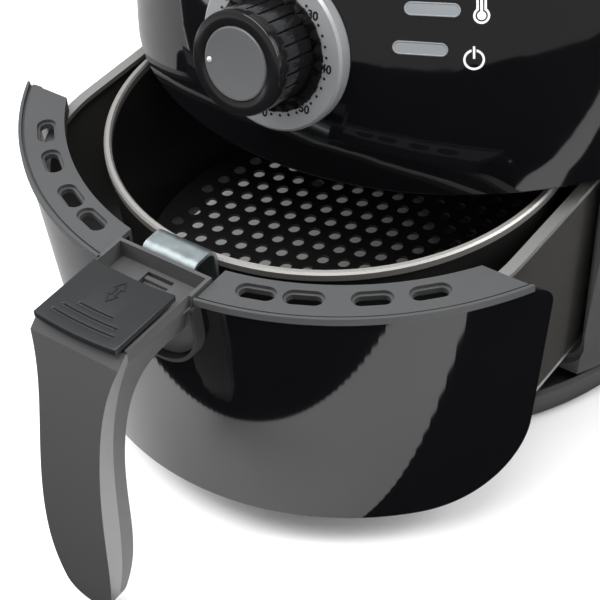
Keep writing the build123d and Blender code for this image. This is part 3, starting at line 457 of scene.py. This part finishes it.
# ---- Timer knob ---------------------------------------------------------------------------
# Moulded in gloss black with raised grip bars round its side and a bevelled face. A satin
# grey disc with a small bright pointer dot is set into the face.
knob_radius = 0.0205
knob_bar_rise = 0.0008
knob_foot = 0.0006
knob_height = 0.0219
knob_face_radius = 0.0148
bar_count = 24
knob_edge = 0.0007
bar_stop = 0.0046

bpy.ops.object.select_all(action="DESELECT")
bpy.ops.mesh.primitive_cylinder_add(
    vertices=bar_count * 6, radius=knob_radius, depth=knob_height - knob_foot,
    location=(0.0, 0.0, (knob_height + knob_foot) / 2))
knob = bpy.context.object
knob.name = "timer_knob_ribbed"
bpy.ops.object.transform_apply(location=True, rotation=True, scale=True)


def edit(piece):
    """Opens one piece alone in edit mode."""
    if bpy.context.object and bpy.context.object.mode == "EDIT":
        bpy.ops.object.mode_set(mode="OBJECT")
    bpy.ops.object.select_all(action="DESELECT")
    piece.select_set(True)
    bpy.context.view_layer.objects.active = piece
    bpy.ops.object.mode_set(mode="EDIT")


def pick_faces(piece, wanted):
    """Selects the faces whose middle and normal pass the test."""
    edit(piece)
    bpy.ops.mesh.select_mode(type="FACE")
    bpy.ops.mesh.select_all(action="DESELECT")
    shape = bmesh.from_edit_mesh(piece.data)
    for face in shape.faces:
        if wanted(face.calc_center_median(), face.normal):
            face.select_set(True)
    bmesh.update_edit_mesh(piece.data)


def pick_edges(piece, wanted):
    """Selects the edges whose two ends pass the test."""
    edit(piece)
    bpy.ops.mesh.select_mode(type="EDGE")
    bpy.ops.mesh.select_all(action="DESELECT")
    shape = bmesh.from_edit_mesh(piece.data)
    for edge in shape.edges:
        if wanted(edge.verts[0].co, edge.verts[1].co):
            edge.select_set(True)
    bmesh.update_edit_mesh(piece.data)


def is_top(middle, normal):
    return normal.z > 0.999


def on_bar(middle, normal):
    if abs(normal.z) > 0.5 or middle.z > knob_height - bar_stop:
        return False
    share = (Vector((middle.x, middle.y)).angle_signed(Vector((1.0, 0.0))) / (2 * pi) * bar_count) % 1.0
    return share < 1.0 / 6.0


bpy.ops.object.mode_set(mode="EDIT")
bpy.ops.mesh.select_all(action="SELECT")
bpy.ops.mesh.bisect(plane_co=(0.0, 0.0, knob_height - bar_stop), plane_no=(0.0, 0.0, 1.0))
pick_edges(knob, lambda a, b: a.z > knob_height - 0.00001 and b.z > knob_height - 0.00001)
bpy.ops.mesh.bevel(offset=knob_edge, segments=3, affect="EDGES")
pick_faces(knob, on_bar)
bpy.ops.mesh.extrude_region_shrink_fatten(
    TRANSFORM_OT_shrink_fatten={"value": -knob_bar_rise})
pick_faces(knob, is_top)
bpy.ops.mesh.inset(thickness=knob_radius - knob_edge - knob_face_radius, depth=0.0)
bpy.ops.mesh.inset(thickness=0.0002, depth=-0.0014)
bpy.ops.mesh.select_all(action="SELECT")
bpy.ops.mesh.remove_doubles(threshold=0.000002)
bpy.ops.mesh.normals_make_consistent(inside=False)
bpy.ops.object.mode_set(mode="OBJECT")
softened = knob.modifiers.new("softened", "BEVEL")
softened.width = 0.00022
softened.segments = 2
softened.angle_limit = radians(35.0)
bpy.ops.object.modifier_apply(modifier=softened.name)
bpy.ops.object.shade_smooth_by_angle(angle=radians(35.0))
settle(knob, dial_stand)
knob_black = polished("knob_black", (0.005, 0.005, 0.0055), (0.009, 0.009, 0.010), 0.12, 0.5)
knob.data.materials.append(knob_black)
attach(knob, "timer_dial")
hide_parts("timer_knob")

face_thickness = 0.0019
bpy.ops.object.select_all(action="DESELECT")
bpy.ops.mesh.primitive_cylinder_add(
    vertices=128, radius=knob_face_radius - 0.0003, depth=face_thickness,
    location=(0.0, 0.0, knob_height - 0.0014 + face_thickness / 2))
knob_face = bpy.context.object
knob_face.name = "timer_knob_face"
bpy.ops.object.transform_apply(location=True, rotation=True, scale=True)
face_top = knob_height - 0.0014 + face_thickness
pick_edges(knob_face, lambda a, b: a.z > face_top - 0.00001 and b.z > face_top - 0.00001)
bpy.ops.mesh.bevel(offset=0.0007, segments=4, affect="EDGES")
pick_faces(knob_face, is_top)
bpy.ops.mesh.inset(thickness=0.0006, depth=-0.00012)
bpy.ops.object.mode_set(mode="OBJECT")
bpy.ops.object.shade_smooth_by_angle(angle=radians(25.0))
settle(knob_face, dial_stand)
face_grey = moulded("face_grey", (0.105, 0.107, 0.11), (0.135, 0.137, 0.14), 0.42, 0.3, 0.5, 0.35)
knob_face.data.materials.append(face_grey)
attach(knob_face, "timer_dial")
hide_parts("timer_knob_cap")

pointer_turn = radians(-98.0)
bpy.ops.object.select_all(action="DESELECT")
bpy.ops.mesh.primitive_uv_sphere_add(
    segments=32, ring_count=16, radius=0.00125,
    location=(0.0121 * sin(pointer_turn), 0.0121 * cos(pointer_turn), face_top - 0.00045))
pointer_dot = bpy.context.object
pointer_dot.name = "pointer_dot"
bpy.ops.object.transform_apply(location=True, rotation=True, scale=True)
bpy.ops.object.mode_set(mode="EDIT")
bpy.ops.mesh.select_all(action="SELECT")
bpy.ops.mesh.bisect(plane_co=(0.0, 0.0, face_top - 0.0003), plane_no=(0.0, 0.0, 1.0),
                    clear_inner=True, use_fill=True)
bpy.ops.object.mode_set(mode="OBJECT")
bpy.ops.object.shade_smooth_by_angle(angle=radians(40.0))
settle(pointer_dot, dial_stand)
bright = moulded("pointer_bright", (0.62, 0.63, 0.64), (0.75, 0.76, 0.77), 0.25, 0.1, 0.6, 0.4)
pointer_dot.data.materials.append(bright)
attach(pointer_dot, "timer_dial")

# ---- Lamps and their printed signs ------------------------------------------------------------
# Two frosted lenses in bright rims show through the cover. Beside them a thermometer and a
# power sign are printed on it in white.
frosted = moulded("frosted_lens", (0.18, 0.20, 0.215), (0.27, 0.29, 0.305), 0.3, 0.5)
dress(frosted, "lamp_lens_upper", "lamp_lens_lower")
cover = frame["nodes"]["front_cover"]


def cover_stand(x, z):
    """Placing on the cover's outer face at (x, z)."""
    _, place, normal, _ = cover.ray_cast(Vector((x, -1.0, z)), Vector((0.0, 1.0, 0.0)))
    return stand_at(place, normal)


white_print = moulded("white_print", (0.80, 0.80, 0.80), (0.90, 0.90, 0.90), 0.5, 0.1)
rim_bright = moulded("rim_bright", (0.50, 0.51, 0.53), (0.66, 0.67, 0.69), 0.22, 0.1, 0.6, 0.8)


def obround(name, length, width, thickness, segments=16):
    """Flat bar with round ends, lying on z = 0 along x."""
    bpy.ops.object.select_all(action="DESELECT")
    bpy.ops.mesh.primitive_cylinder_add(
        vertices=4 * segments, radius=width / 2, depth=thickness, location=(0.0, 0.0, thickness / 2))
    bar = bpy.context.object
    bar.name = name
    bpy.ops.object.transform_apply(location=True, rotation=True, scale=True)
    pull = (length - width) / 2
    for corner in bar.data.vertices:
        if abs(corner.co.x) > 0.000001:
            corner.co.x += pull if corner.co.x > 0.0 else -pull
    return bar


rim_length = 0.0209
rim_width = 0.0052
rim_thickness = 0.0007
rim_sunk = 0.0006            # how deep the rim sits in the lens
rim_border = 0.00055
rim_step = 0.0004
for lens_name in ("lamp_lens_upper", "lamp_lens_lower"):
    lens = frame["nodes"][lens_name].data
    front_faces = [face for face in lens.polygons if face.normal.y < -0.5]
    facing = max(front_faces, key=lambda face: face.area).normal.copy()
    reach = max(corner.co.dot(facing) for corner in lens.vertices)
    face_corners = [corner.co for corner in lens.vertices if corner.co.dot(facing) > reach - 0.0002]
    middle = sum(face_corners, Vector()) / len(face_corners)
    rim = obround(lens_name + "_rim", rim_length, rim_width, rim_thickness)
    rim.data.transform(Matrix.Translation((0.0, 0.0, -rim_sunk)))
    pick_faces(rim, is_top)
    bpy.ops.mesh.inset(thickness=rim_border, depth=0.0)
    bpy.ops.mesh.inset(thickness=0.00008, depth=-rim_step)
    bpy.ops.object.mode_set(mode="OBJECT")
    rounded = rim.modifiers.new("rounded", "BEVEL")
    rounded.width = 0.0001
    rounded.segments = 2
    rounded.angle_limit = radians(35.0)
    bpy.ops.object.modifier_apply(modifier=rounded.name)
    bpy.ops.object.shade_smooth_by_angle(angle=radians(35.0))
    settle(rim, stand_at(middle, facing))
    rim.data.materials.append(rim_bright)
    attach(rim, "housing")


def outline(piece, stroke):
    """Turns a flat shape into a line of the given width along its edge."""
    pick_faces(piece, lambda middle, normal: True)
    bpy.ops.mesh.inset(thickness=stroke)
    bpy.ops.mesh.delete(type="FACE")
    bpy.ops.object.mode_set(mode="OBJECT")


def flat_disc(radius, place=(0.0, 0.0), vertices=48):
    bpy.ops.object.select_all(action="DESELECT")
    bpy.ops.mesh.primitive_circle_add(
        vertices=vertices, radius=radius, fill_type="NGON", location=(place[0], place[1], 0.0))
    bpy.ops.object.transform_apply(location=True, rotation=True, scale=True)
    return bpy.context.object


def flat_bar(width, low, high):
    bpy.ops.object.select_all(action="DESELECT")
    bpy.ops.mesh.primitive_plane_add(size=1.0, location=(0.0, (low + high) / 2, 0.0))
    bar = bpy.context.object
    bar.scale = (width, high - low, 1.0)
    bpy.ops.object.transform_apply(location=True, rotation=True, scale=True)
    return bar


def print_on_cover(name, pieces, x, z):
    """Lays flat shapes on the curved cover and gives them a print's thickness."""
    sign = join(name, pieces)
    bpy.ops.object.mode_set(mode="EDIT")
    bpy.ops.mesh.select_all(action="SELECT")
    bpy.ops.mesh.quads_convert_to_tris()
    bpy.ops.mesh.subdivide(number_cuts=1)
    bpy.ops.object.mode_set(mode="OBJECT")
    stand = cover_stand(x, z)
    sign.data.transform(stand)
    sign.matrix_world = Matrix.Identity(4)
    inward = -Vector((stand[0][2], stand[1][2], stand[2][2]))
    for corner in sign.data.vertices:
        _, place, normal, _ = cover.ray_cast(corner.co - inward * 0.01, inward)
        corner.co = place + normal * 0.00004
    layer = sign.modifiers.new("layer", "SOLIDIFY")
    layer.thickness = print_thickness
    layer.offset = 1.0
    bpy.ops.object.modifier_apply(modifier=layer.name)
    sign.data.materials.clear()
    sign.data.materials.append(white_print)
    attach(sign, "housing")
    return sign


# thermometer: an outlined bulb and tube with the liquid inside
upper_low, upper_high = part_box("lamp_lens_upper")
lower_low, lower_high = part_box("lamp_lens_lower")
stroke = 0.00085
stem_height = 0.019
stem_radius = 0.0019
bulb_radius = 0.0031
bulb = flat_disc(bulb_radius)
tube = flat_bar(2 * stem_radius, 0.0, stem_height)
tube_end = flat_disc(stem_radius, (0.0, stem_height))
bulb_cut = flat_disc(bulb_radius - stroke)
tube_cut = flat_bar(2 * (stem_radius - stroke), 0.0, stem_height)
end_cut = flat_disc(stem_radius - stroke, (0.0, stem_height))
blank = 0.002                # thickness that flat shapes are given while they are joined


def thicken(piece, height):
    wall = piece.modifiers.new("wall", "SOLIDIFY")
    wall.thickness = height
    wall.offset = 0.0
    bpy.context.view_layer.objects.active = piece
    bpy.ops.object.modifier_apply(modifier=wall.name)
    return piece


def combine(piece, tool, operation):
    cut = piece.modifiers.new("combine", "BOOLEAN")
    cut.operation = operation
    cut.solver = "EXACT"
    cut.object = tool
    bpy.context.view_layer.objects.active = piece
    bpy.ops.object.modifier_apply(modifier=cut.name)
    bpy.data.objects.remove(tool, do_unlink=True)
    return piece


def flat_again(piece):
    """Keeps only the upper face of a thickened shape."""
    pick_faces(piece, lambda middle, normal: normal.z < 0.5)
    bpy.ops.mesh.delete(type="FACE")
    bpy.ops.object.mode_set(mode="OBJECT")
    for corner in piece.data.vertices:
        corner.co.z = 0.0
    return piece


glass = thicken(bulb, blank)
for part in (tube, tube_end):
    combine(glass, thicken(part, blank), "UNION")
for part in (bulb_cut, tube_cut, end_cut):
    combine(glass, thicken(part, 2 * blank), "DIFFERENCE")
liquid = flat_disc(0.00165)
column = flat_bar(0.0010, 0.0, stem_height - 0.001)
liquid = thicken(liquid, blank)
combine(liquid, thicken(column, blank), "UNION")
upper_x = (upper_low[0] + upper_high[0]) / 2
upper_z = (upper_low[2] + upper_high[2]) / 2
print_on_cover("thermometer_sign", [flat_again(glass), flat_again(liquid)],
               upper_x + 0.0170, upper_z - 0.0012)

# power sign: a ring open at the top with an upright stroke through the gap
ring_radius = 0.0040
ring_gap = 0.0019
ring = thicken(flat_disc(ring_radius, vertices=96), blank)
combine(ring, thicken(flat_disc(ring_radius - stroke, vertices=96), 2 * blank), "DIFFERENCE")
combine(ring, thicken(flat_bar(ring_gap, 0.0, 2 * ring_radius), 2 * blank), "DIFFERENCE")
bar = flat_again(thicken(flat_bar(stroke, 0.0004, ring_radius + 0.0011), blank))
lower_x = (lower_low[0] + lower_high[0]) / 2
lower_z = (lower_low[2] + lower_high[2]) / 2
print_on_cover("power_sign", [flat_again(ring), bar], lower_x + 0.0190, lower_z - 0.0030)

# ---- Inside the body -------------------------------------------------------------------------
# Pressed steel liner and heating chamber, tube heater, fans and motor, and the small
# switches and boards, each in its own metal or plastic.


def sheet_metal(name, dark, light, rough, stretch=(1.0, 1.0, 1.0)):
    """Rolled or plated sheet: blotches of tone and fine drawn lines."""
    skin = Finish(name)
    blotch = skin.noise(220.0, 4.0)
    lines = skin.noise(900.0, 2.0, stretch)
    skin.set(Base_Color=skin.blend(blotch, dark, light), Metallic=1.0,
             Roughness=rough - 0.08 + blotch * 0.12 + lines * 0.08)
    skin.bump(lines, 0.00003, 0.4)
    return skin.material


plain_sheet = sheet_metal("plain_sheet", (0.40, 0.40, 0.40), (0.55, 0.55, 0.55), 0.4, (0.1, 1.0, 1.0))
heater = sheet_metal("heater_tube", (0.08, 0.075, 0.07), (0.16, 0.14, 0.12), 0.5)
motor_can = sheet_metal("motor_can", (0.25, 0.25, 0.26), (0.36, 0.36, 0.37), 0.45)
zinc = sheet_metal("zinc_plate", (0.30, 0.35, 0.37), (0.58, 0.65, 0.67), 0.42, (1.0, 0.2, 1.0))
nylon = moulded("natural_nylon", (0.68, 0.67, 0.62), (0.76, 0.75, 0.70), 0.45)
matte_black = moulded("matte_black", (0.012, 0.012, 0.013), (0.022, 0.022, 0.023), 0.45)
dress(plain_sheet, "cavity_liner", "exhaust_duct", "heat_chamber", "coil_guard", "convection_fan",
      "motor_shaft", "heat_shield", "motor_bracket", "timer_spindle", "timer_body", "heat_spindle",
      "thermostat")
dress(heater, "heating_coil")
dress(motor_can, "motor")
dress(zinc, "motor_screws", "lever_pin", "button_spring", "bracket_rivets")
dress(nylon, "cooling_fan", "lamp_board", "terminal_block")
dress(matte_black, "outlet_grille", "safety_switch")
dress(gloss_black, "heat_knob")

# ---- Pan ------------------------------------------------------------------------------------
# Deep drawn steel with a gunmetal non-stick coat. A folded band of satin grey runs round
# its rim. The floor carries painted light: a paler colour and a painted glow (emission)
# for the light that reaches it through the basket.
pan_low, pan_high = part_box("pan")
pan_coat = Finish("pan_coat")
height = pan_coat.axis("Z")
pan_cloud = pan_coat.noise(40.0)
pan_speck = pan_coat.noise(1800.0, 2.0)
pan_wall = pan_coat.blend(
    pan_cloud * 0.6 + pan_speck * 0.4, (0.050, 0.048, 0.045), (0.072, 0.070, 0.066))
pan_rim = pan_coat.blend(pan_speck, (0.26, 0.26, 0.255), (0.34, 0.34, 0.335))
# painted light: the floor's paler colour stands in for the light coming through the basket
pan_floor_painted_light = pan_coat.blend(pan_cloud, (0.32, 0.32, 0.315), (0.42, 0.42, 0.415))
over_rim = height.ramp(pan_high[2] - 0.0024, pan_high[2] - 0.0021)
over_floor = height.ramp(pan_low[2] + 0.0030, pan_low[2] + 0.0022)
inner_floor = over_floor * height.ramp(pan_low[2] + 0.0008, pan_low[2] + 0.0011)
# painted glow: strongest at the front left, where the light reaches the floor best
towards_light = pan_coat.axis("X") * 0.6 + pan_coat.axis("Y") * 0.8
painted_glow_floor = inner_floor * towards_light.ramp(0.035, -0.085)
pan_coat.set(
    Base_Color=pan_coat.blend(over_floor, pan_coat.blend(over_rim, pan_wall, pan_rim), pan_floor_painted_light),
    Roughness=0.34 + pan_cloud * 0.08, Metallic=0.25 + over_rim * 0.3)
# painted glow: the floor is given emission of its own though it is no lamp
pan_coat.set(
    Emission_Color=pan_coat.blend(painted_glow_floor, (0.0, 0.0, 0.0), (0.26, 0.26, 0.257)),
    Emission_Strength=1.0)
pan_coat.bump(pan_speck, 0.00004, 0.3)
dress(pan_coat.material, "pan")

# ---- Basket ----------------------------------------------------------------------------------
# Steel basket with a black non-stick coat. Its rolled rim is bare satin metal, and round
# holes are punched through the floor.
basket_coat = Finish("basket_coat")
basket_height = basket_coat.axis("Z")
basket_cloud = basket_coat.noise(35.0)
basket_speck = basket_coat.noise(2200.0, 2.0)
coat_black = basket_coat.blend(
    basket_cloud * 0.5 + basket_speck * 0.5, (0.010, 0.010, 0.010), (0.020, 0.019, 0.018))
rim_metal = basket_coat.blend(basket_speck, (0.40, 0.39, 0.37), (0.52, 0.51, 0.49))
on_rim = basket_height.ramp(basket_high[2] - 0.0037, basket_high[2] - 0.0034)
basket_coat.set(
    Base_Color=basket_coat.blend(on_rim, coat_black, rim_metal),
    Roughness=0.36 + basket_cloud * 0.08 + on_rim * 0.12, Metallic=on_rim * 0.8)
basket_coat.bump(basket_speck, 0.00004, 0.3)
dress(basket_coat.material, "basket_wall")
floor_coat = moulded("floor_coat", (0.010, 0.010, 0.010), (0.018, 0.018, 0.017), 0.42)
dress(floor_coat, "basket_floor", "basket_feet")

# ---- Hook bracket --------------------------------------------------------------------------------
# Zinc plated strip bent over the pan's rim, riveted to the basket.
dress(zinc, "hook_bracket")

# ---- Drawer front ---------------------------------------------------------------------------------
# High gloss black ABS, curved round the drawer and leaning outwards at the top, with large
# rounded lower corners, a notch for the handle and a thin rounded edge all round.
front_low, front_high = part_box("drawer_front")
wall = 0.0025
top_radius = 0.1442
low_radius = 0.1280
top_centre_y = front_low[1] + top_radius
low_centre_y = top_centre_y - 0.0106
side_edge_y = front_high[1]
top_z = front_high[2]
low_z = front_low[2]
top_corner = 0.011
low_corner = 0.038
bpy.ops.object.select_all(action="DESELECT")
bpy.ops.mesh.primitive_cone_add(
    vertices=360, radius1=low_radius, radius2=top_radius, depth=top_z - low_z, end_fill_type="NOTHING",
    location=(0.0, low_centre_y, (top_z + low_z) / 2))
glossy_front = bpy.context.object
glossy_front.name = "glossy_front"
bpy.ops.object.transform_apply(location=True, rotation=True, scale=True)
for corner in glossy_front.data.vertices:
    if corner.co.z > (top_z + low_z) / 2:
        corner.co.y += top_centre_y - low_centre_y
bpy.ops.object.mode_set(mode="EDIT")
bpy.ops.mesh.select_all(action="SELECT")
bpy.ops.mesh.bisect(plane_co=(0.0, side_edge_y + 0.01, 0.0), plane_no=(0.0, 1.0, 0.0), clear_outer=True)
bpy.ops.object.mode_set(mode="OBJECT")
skin = glossy_front.modifiers.new("skin", "SOLIDIFY")
skin.thickness = wall
skin.offset = -1.0
bpy.ops.object.modifier_apply(modifier=skin.name)


def block_tool(name, low, high):
    bpy.ops.object.select_all(action="DESELECT")
    bpy.ops.mesh.primitive_cube_add(size=1.0, location=tuple((a + b) / 2 for a, b in zip(low, high)))
    tool = bpy.context.object
    tool.name = name
    tool.scale = tuple(b - a for a, b in zip(low, high))
    bpy.ops.object.transform_apply(location=True, rotation=True, scale=True)
    return tool


def round_edges(tool, wanted, radius, segments):
    pick_edges(tool, wanted)
    bpy.ops.mesh.bevel(offset=radius, segments=segments, affect="EDGES")
    bpy.ops.object.mode_set(mode="OBJECT")


front_blank = block_tool("front_blank", (-0.25, front_low[1] - 0.08, low_z), (0.25, side_edge_y, top_z))


def on_side_edge(a, b):
    return min(a.y, b.y) > side_edge_y - 0.0001


round_edges(front_blank, lambda a, b: on_side_edge(a, b) and min(a.z, b.z) > top_z - 0.0001,
            top_corner, 12)
round_edges(front_blank, lambda a, b: on_side_edge(a, b) and max(a.z, b.z) < low_z + 0.0001,
            low_corner, 24)
combine(glossy_front, front_blank, "INTERSECT")
socket_low, socket_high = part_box("handle_socket")
notch_half = socket_high[0] + 0.00005
notch = block_tool("front_notch", (-notch_half, front_low[1] - 0.05, socket_low[2] - 0.00005),
                   (notch_half, socket_high[1] + 0.02, top_z + 0.05))
round_edges(notch, lambda a, b: max(a.z, b.z) < socket_low[2] and abs(a.x - b.x) < 0.0001,
            notch_half * 0.86, 20)
combine(glossy_front, notch, "DIFFERENCE")
softened = glossy_front.modifiers.new("softened", "BEVEL")
softened.width = 0.00045
softened.segments = 3
softened.angle_limit = radians(50.0)
bpy.context.view_layer.objects.active = glossy_front
bpy.ops.object.modifier_apply(modifier=softened.name)
bpy.ops.object.shade_smooth_by_angle(angle=radians(40.0))
glossy_front.data.materials.clear()
glossy_front.data.materials.append(gloss_black)
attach(glossy_front, "drawer")
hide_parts("drawer_front")

# ---- Trim along the drawer's top ------------------------------------------------------------------
# Two matte grey mouldings clipped over the front's top edge, each with a raised line along
# the outside and four stepped slots.
trim_grey = moulded("trim_matte", (0.052, 0.053, 0.055), (0.066, 0.067, 0.069), 0.5, 0.5)
dress(trim_grey, "trim_left", "trim_right")

# ---- Handle ------------------------------------------------------------------------------------------
# Satin dark shell with a metallic grey face plate, standing on a root that sits in the
# drawer front's notch. The plate's side faces carry a painted highlight in place of a
# bevel. The button, its lever and the socket are plain mouldings.
shell_grey = moulded("shell_grey", (0.060, 0.060, 0.061), (0.078, 0.078, 0.079), 0.42, 0.4)
plate_grey = Finish("plate_grey")
plate_speck = plate_grey.noise(2600.0, 2.0)
plate_face = plate_grey.blend(plate_speck, (0.070, 0.070, 0.071), (0.086, 0.086, 0.087))
# painted highlight: faces turned to the sides are painted lighter, standing in for the bright bevel that is
# not modelled
plate_side_painted_highlight = plate_grey.blend(plate_speck, (0.17, 0.17, 0.168), (0.21, 0.21, 0.208))
facing = plate_grey.node("ShaderNodeSeparateXYZ", "X", None, {
    "Vector": plate_grey.node("ShaderNodeTexCoord", "Normal")})
painted_highlight_sides = (facing * facing).ramp(0.45, 0.65)
plate_grey.set(Base_Color=plate_grey.blend(painted_highlight_sides, plate_face, plate_side_painted_highlight),
               Roughness=0.36 + plate_speck * 0.05, Metallic=0.3)
plate_grey.bump(plate_speck, 0.00004, 0.3)
dress(shell_grey, "handle_shell", "release_button", "latch_lever")
dress(plate_grey.material, "handle_front_plate")
dress(matte_black, "handle_socket")

# ---- Release cover ---------------------------------------------------------------------------------------
# Black slide over the release button, with a bowed end, three finger grooves across it and
# an arrow showing which way it slides.
release_low, release_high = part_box("release_cover")
release_half = release_high[0]
bow_depth = 0.0012
release_cover = block_tool(
    "release_slide", (-release_half, release_low[1] + bow_depth, release_low[2]),
    (release_half, release_high[1], release_high[2]))
bpy.ops.object.mode_set(mode="EDIT")
for step in range(1, 24):
    bpy.ops.mesh.select_all(action="SELECT")
    bpy.ops.mesh.bisect(plane_co=(-release_half + 2 * release_half * step / 24, 0.0, 0.0),
                        plane_no=(1.0, 0.0, 0.0))
groove_half_width = 0.0008
groove_rows = ((0.0052, 0.0147), (0.0092, 0.0124), (0.0132, 0.0082))
for from_edge, _ in groove_rows:
    for side in (-1, 1):
        bpy.ops.mesh.select_all(action="SELECT")
        bpy.ops.mesh.bisect(
            plane_co=(0.0, release_low[1] + bow_depth + from_edge + side * groove_half_width, 0.0),
            plane_no=(0.0, 1.0, 0.0))


def in_groove(middle, normal):
    if normal.z < 0.9:
        return False
    along = middle.y - release_low[1] - bow_depth
    return any(abs(along - row) < groove_half_width * 0.9 and abs(middle.x) < reach
               for row, reach in groove_rows)


pick_faces(release_cover, in_groove)
bpy.ops.mesh.extrude_region_move(TRANSFORM_OT_translate={"value": (0.0, 0.0, -0.0009)})
bpy.ops.object.mode_set(mode="OBJECT")
length = release_high[1] - release_low[1] - bow_depth
for corner in release_cover.data.vertices:
    share = (corner.co.y - release_low[1] - bow_depth) / length
    bend = (corner.co.x / release_half) ** 2
    corner.co.y += bow_depth * (bend - 1.0)
softened = release_cover.modifiers.new("softened", "BEVEL")
softened.width = 0.0005
softened.segments = 3
softened.angle_limit = radians(40.0)
bpy.ops.object.modifier_apply(modifier=softened.name)
bpy.ops.object.shade_smooth_by_angle(angle=radians(35.0))
slide_black = moulded("slide_black", (0.011, 0.012, 0.013), (0.019, 0.020, 0.022), 0.38, 0.5)
release_cover.data.materials.append(slide_black)
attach(release_cover, "release_cover")
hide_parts("release_cover")

# the arrow: a narrow raised outline with a head at each end, along the way it slides
arrow_half = 0.0062
head_radius = 0.0030
arrow_y = release_low[1] + bow_depth + 0.0240
arrow = thicken(flat_bar(0.0022, -arrow_half * 0.6, arrow_half * 0.6), blank)
for side in (-1, 1):
    bpy.ops.object.select_all(action="DESELECT")
    bpy.ops.mesh.primitive_circle_add(
        vertices=3, radius=head_radius, fill_type="NGON",
        rotation=(0.0, 0.0, radians(90.0 - side * 90.0)),
        location=(0.0, side * (arrow_half - head_radius), 0.0))
    head = bpy.context.object
    bpy.ops.object.transform_apply(location=True, rotation=True, scale=True)
    combine(arrow, thicken(head, blank), "UNION")
arrow.name = "slide_arrow"
flat_again(arrow)
bpy.ops.object.mode_set(mode="EDIT")
bpy.ops.mesh.select_all(action="SELECT")
bpy.ops.mesh.dissolve_limited(angle_limit=radians(2.0))
bpy.ops.object.mode_set(mode="OBJECT")
outline(arrow, 0.00032)
arrow.data.transform(Matrix.Translation((0.0, arrow_y, release_high[2] - 0.0001)))
arrow.matrix_world = Matrix.Identity(4)
raised = arrow.modifiers.new("raised", "SOLIDIFY")
raised.thickness = 0.0004
raised.offset = 1.0
bpy.context.view_layer.objects.active = arrow
bpy.ops.object.modifier_apply(modifier=raised.name)
arrow.data.materials.clear()
arrow.data.materials.append(slide_black)
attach(arrow, "release_cover")
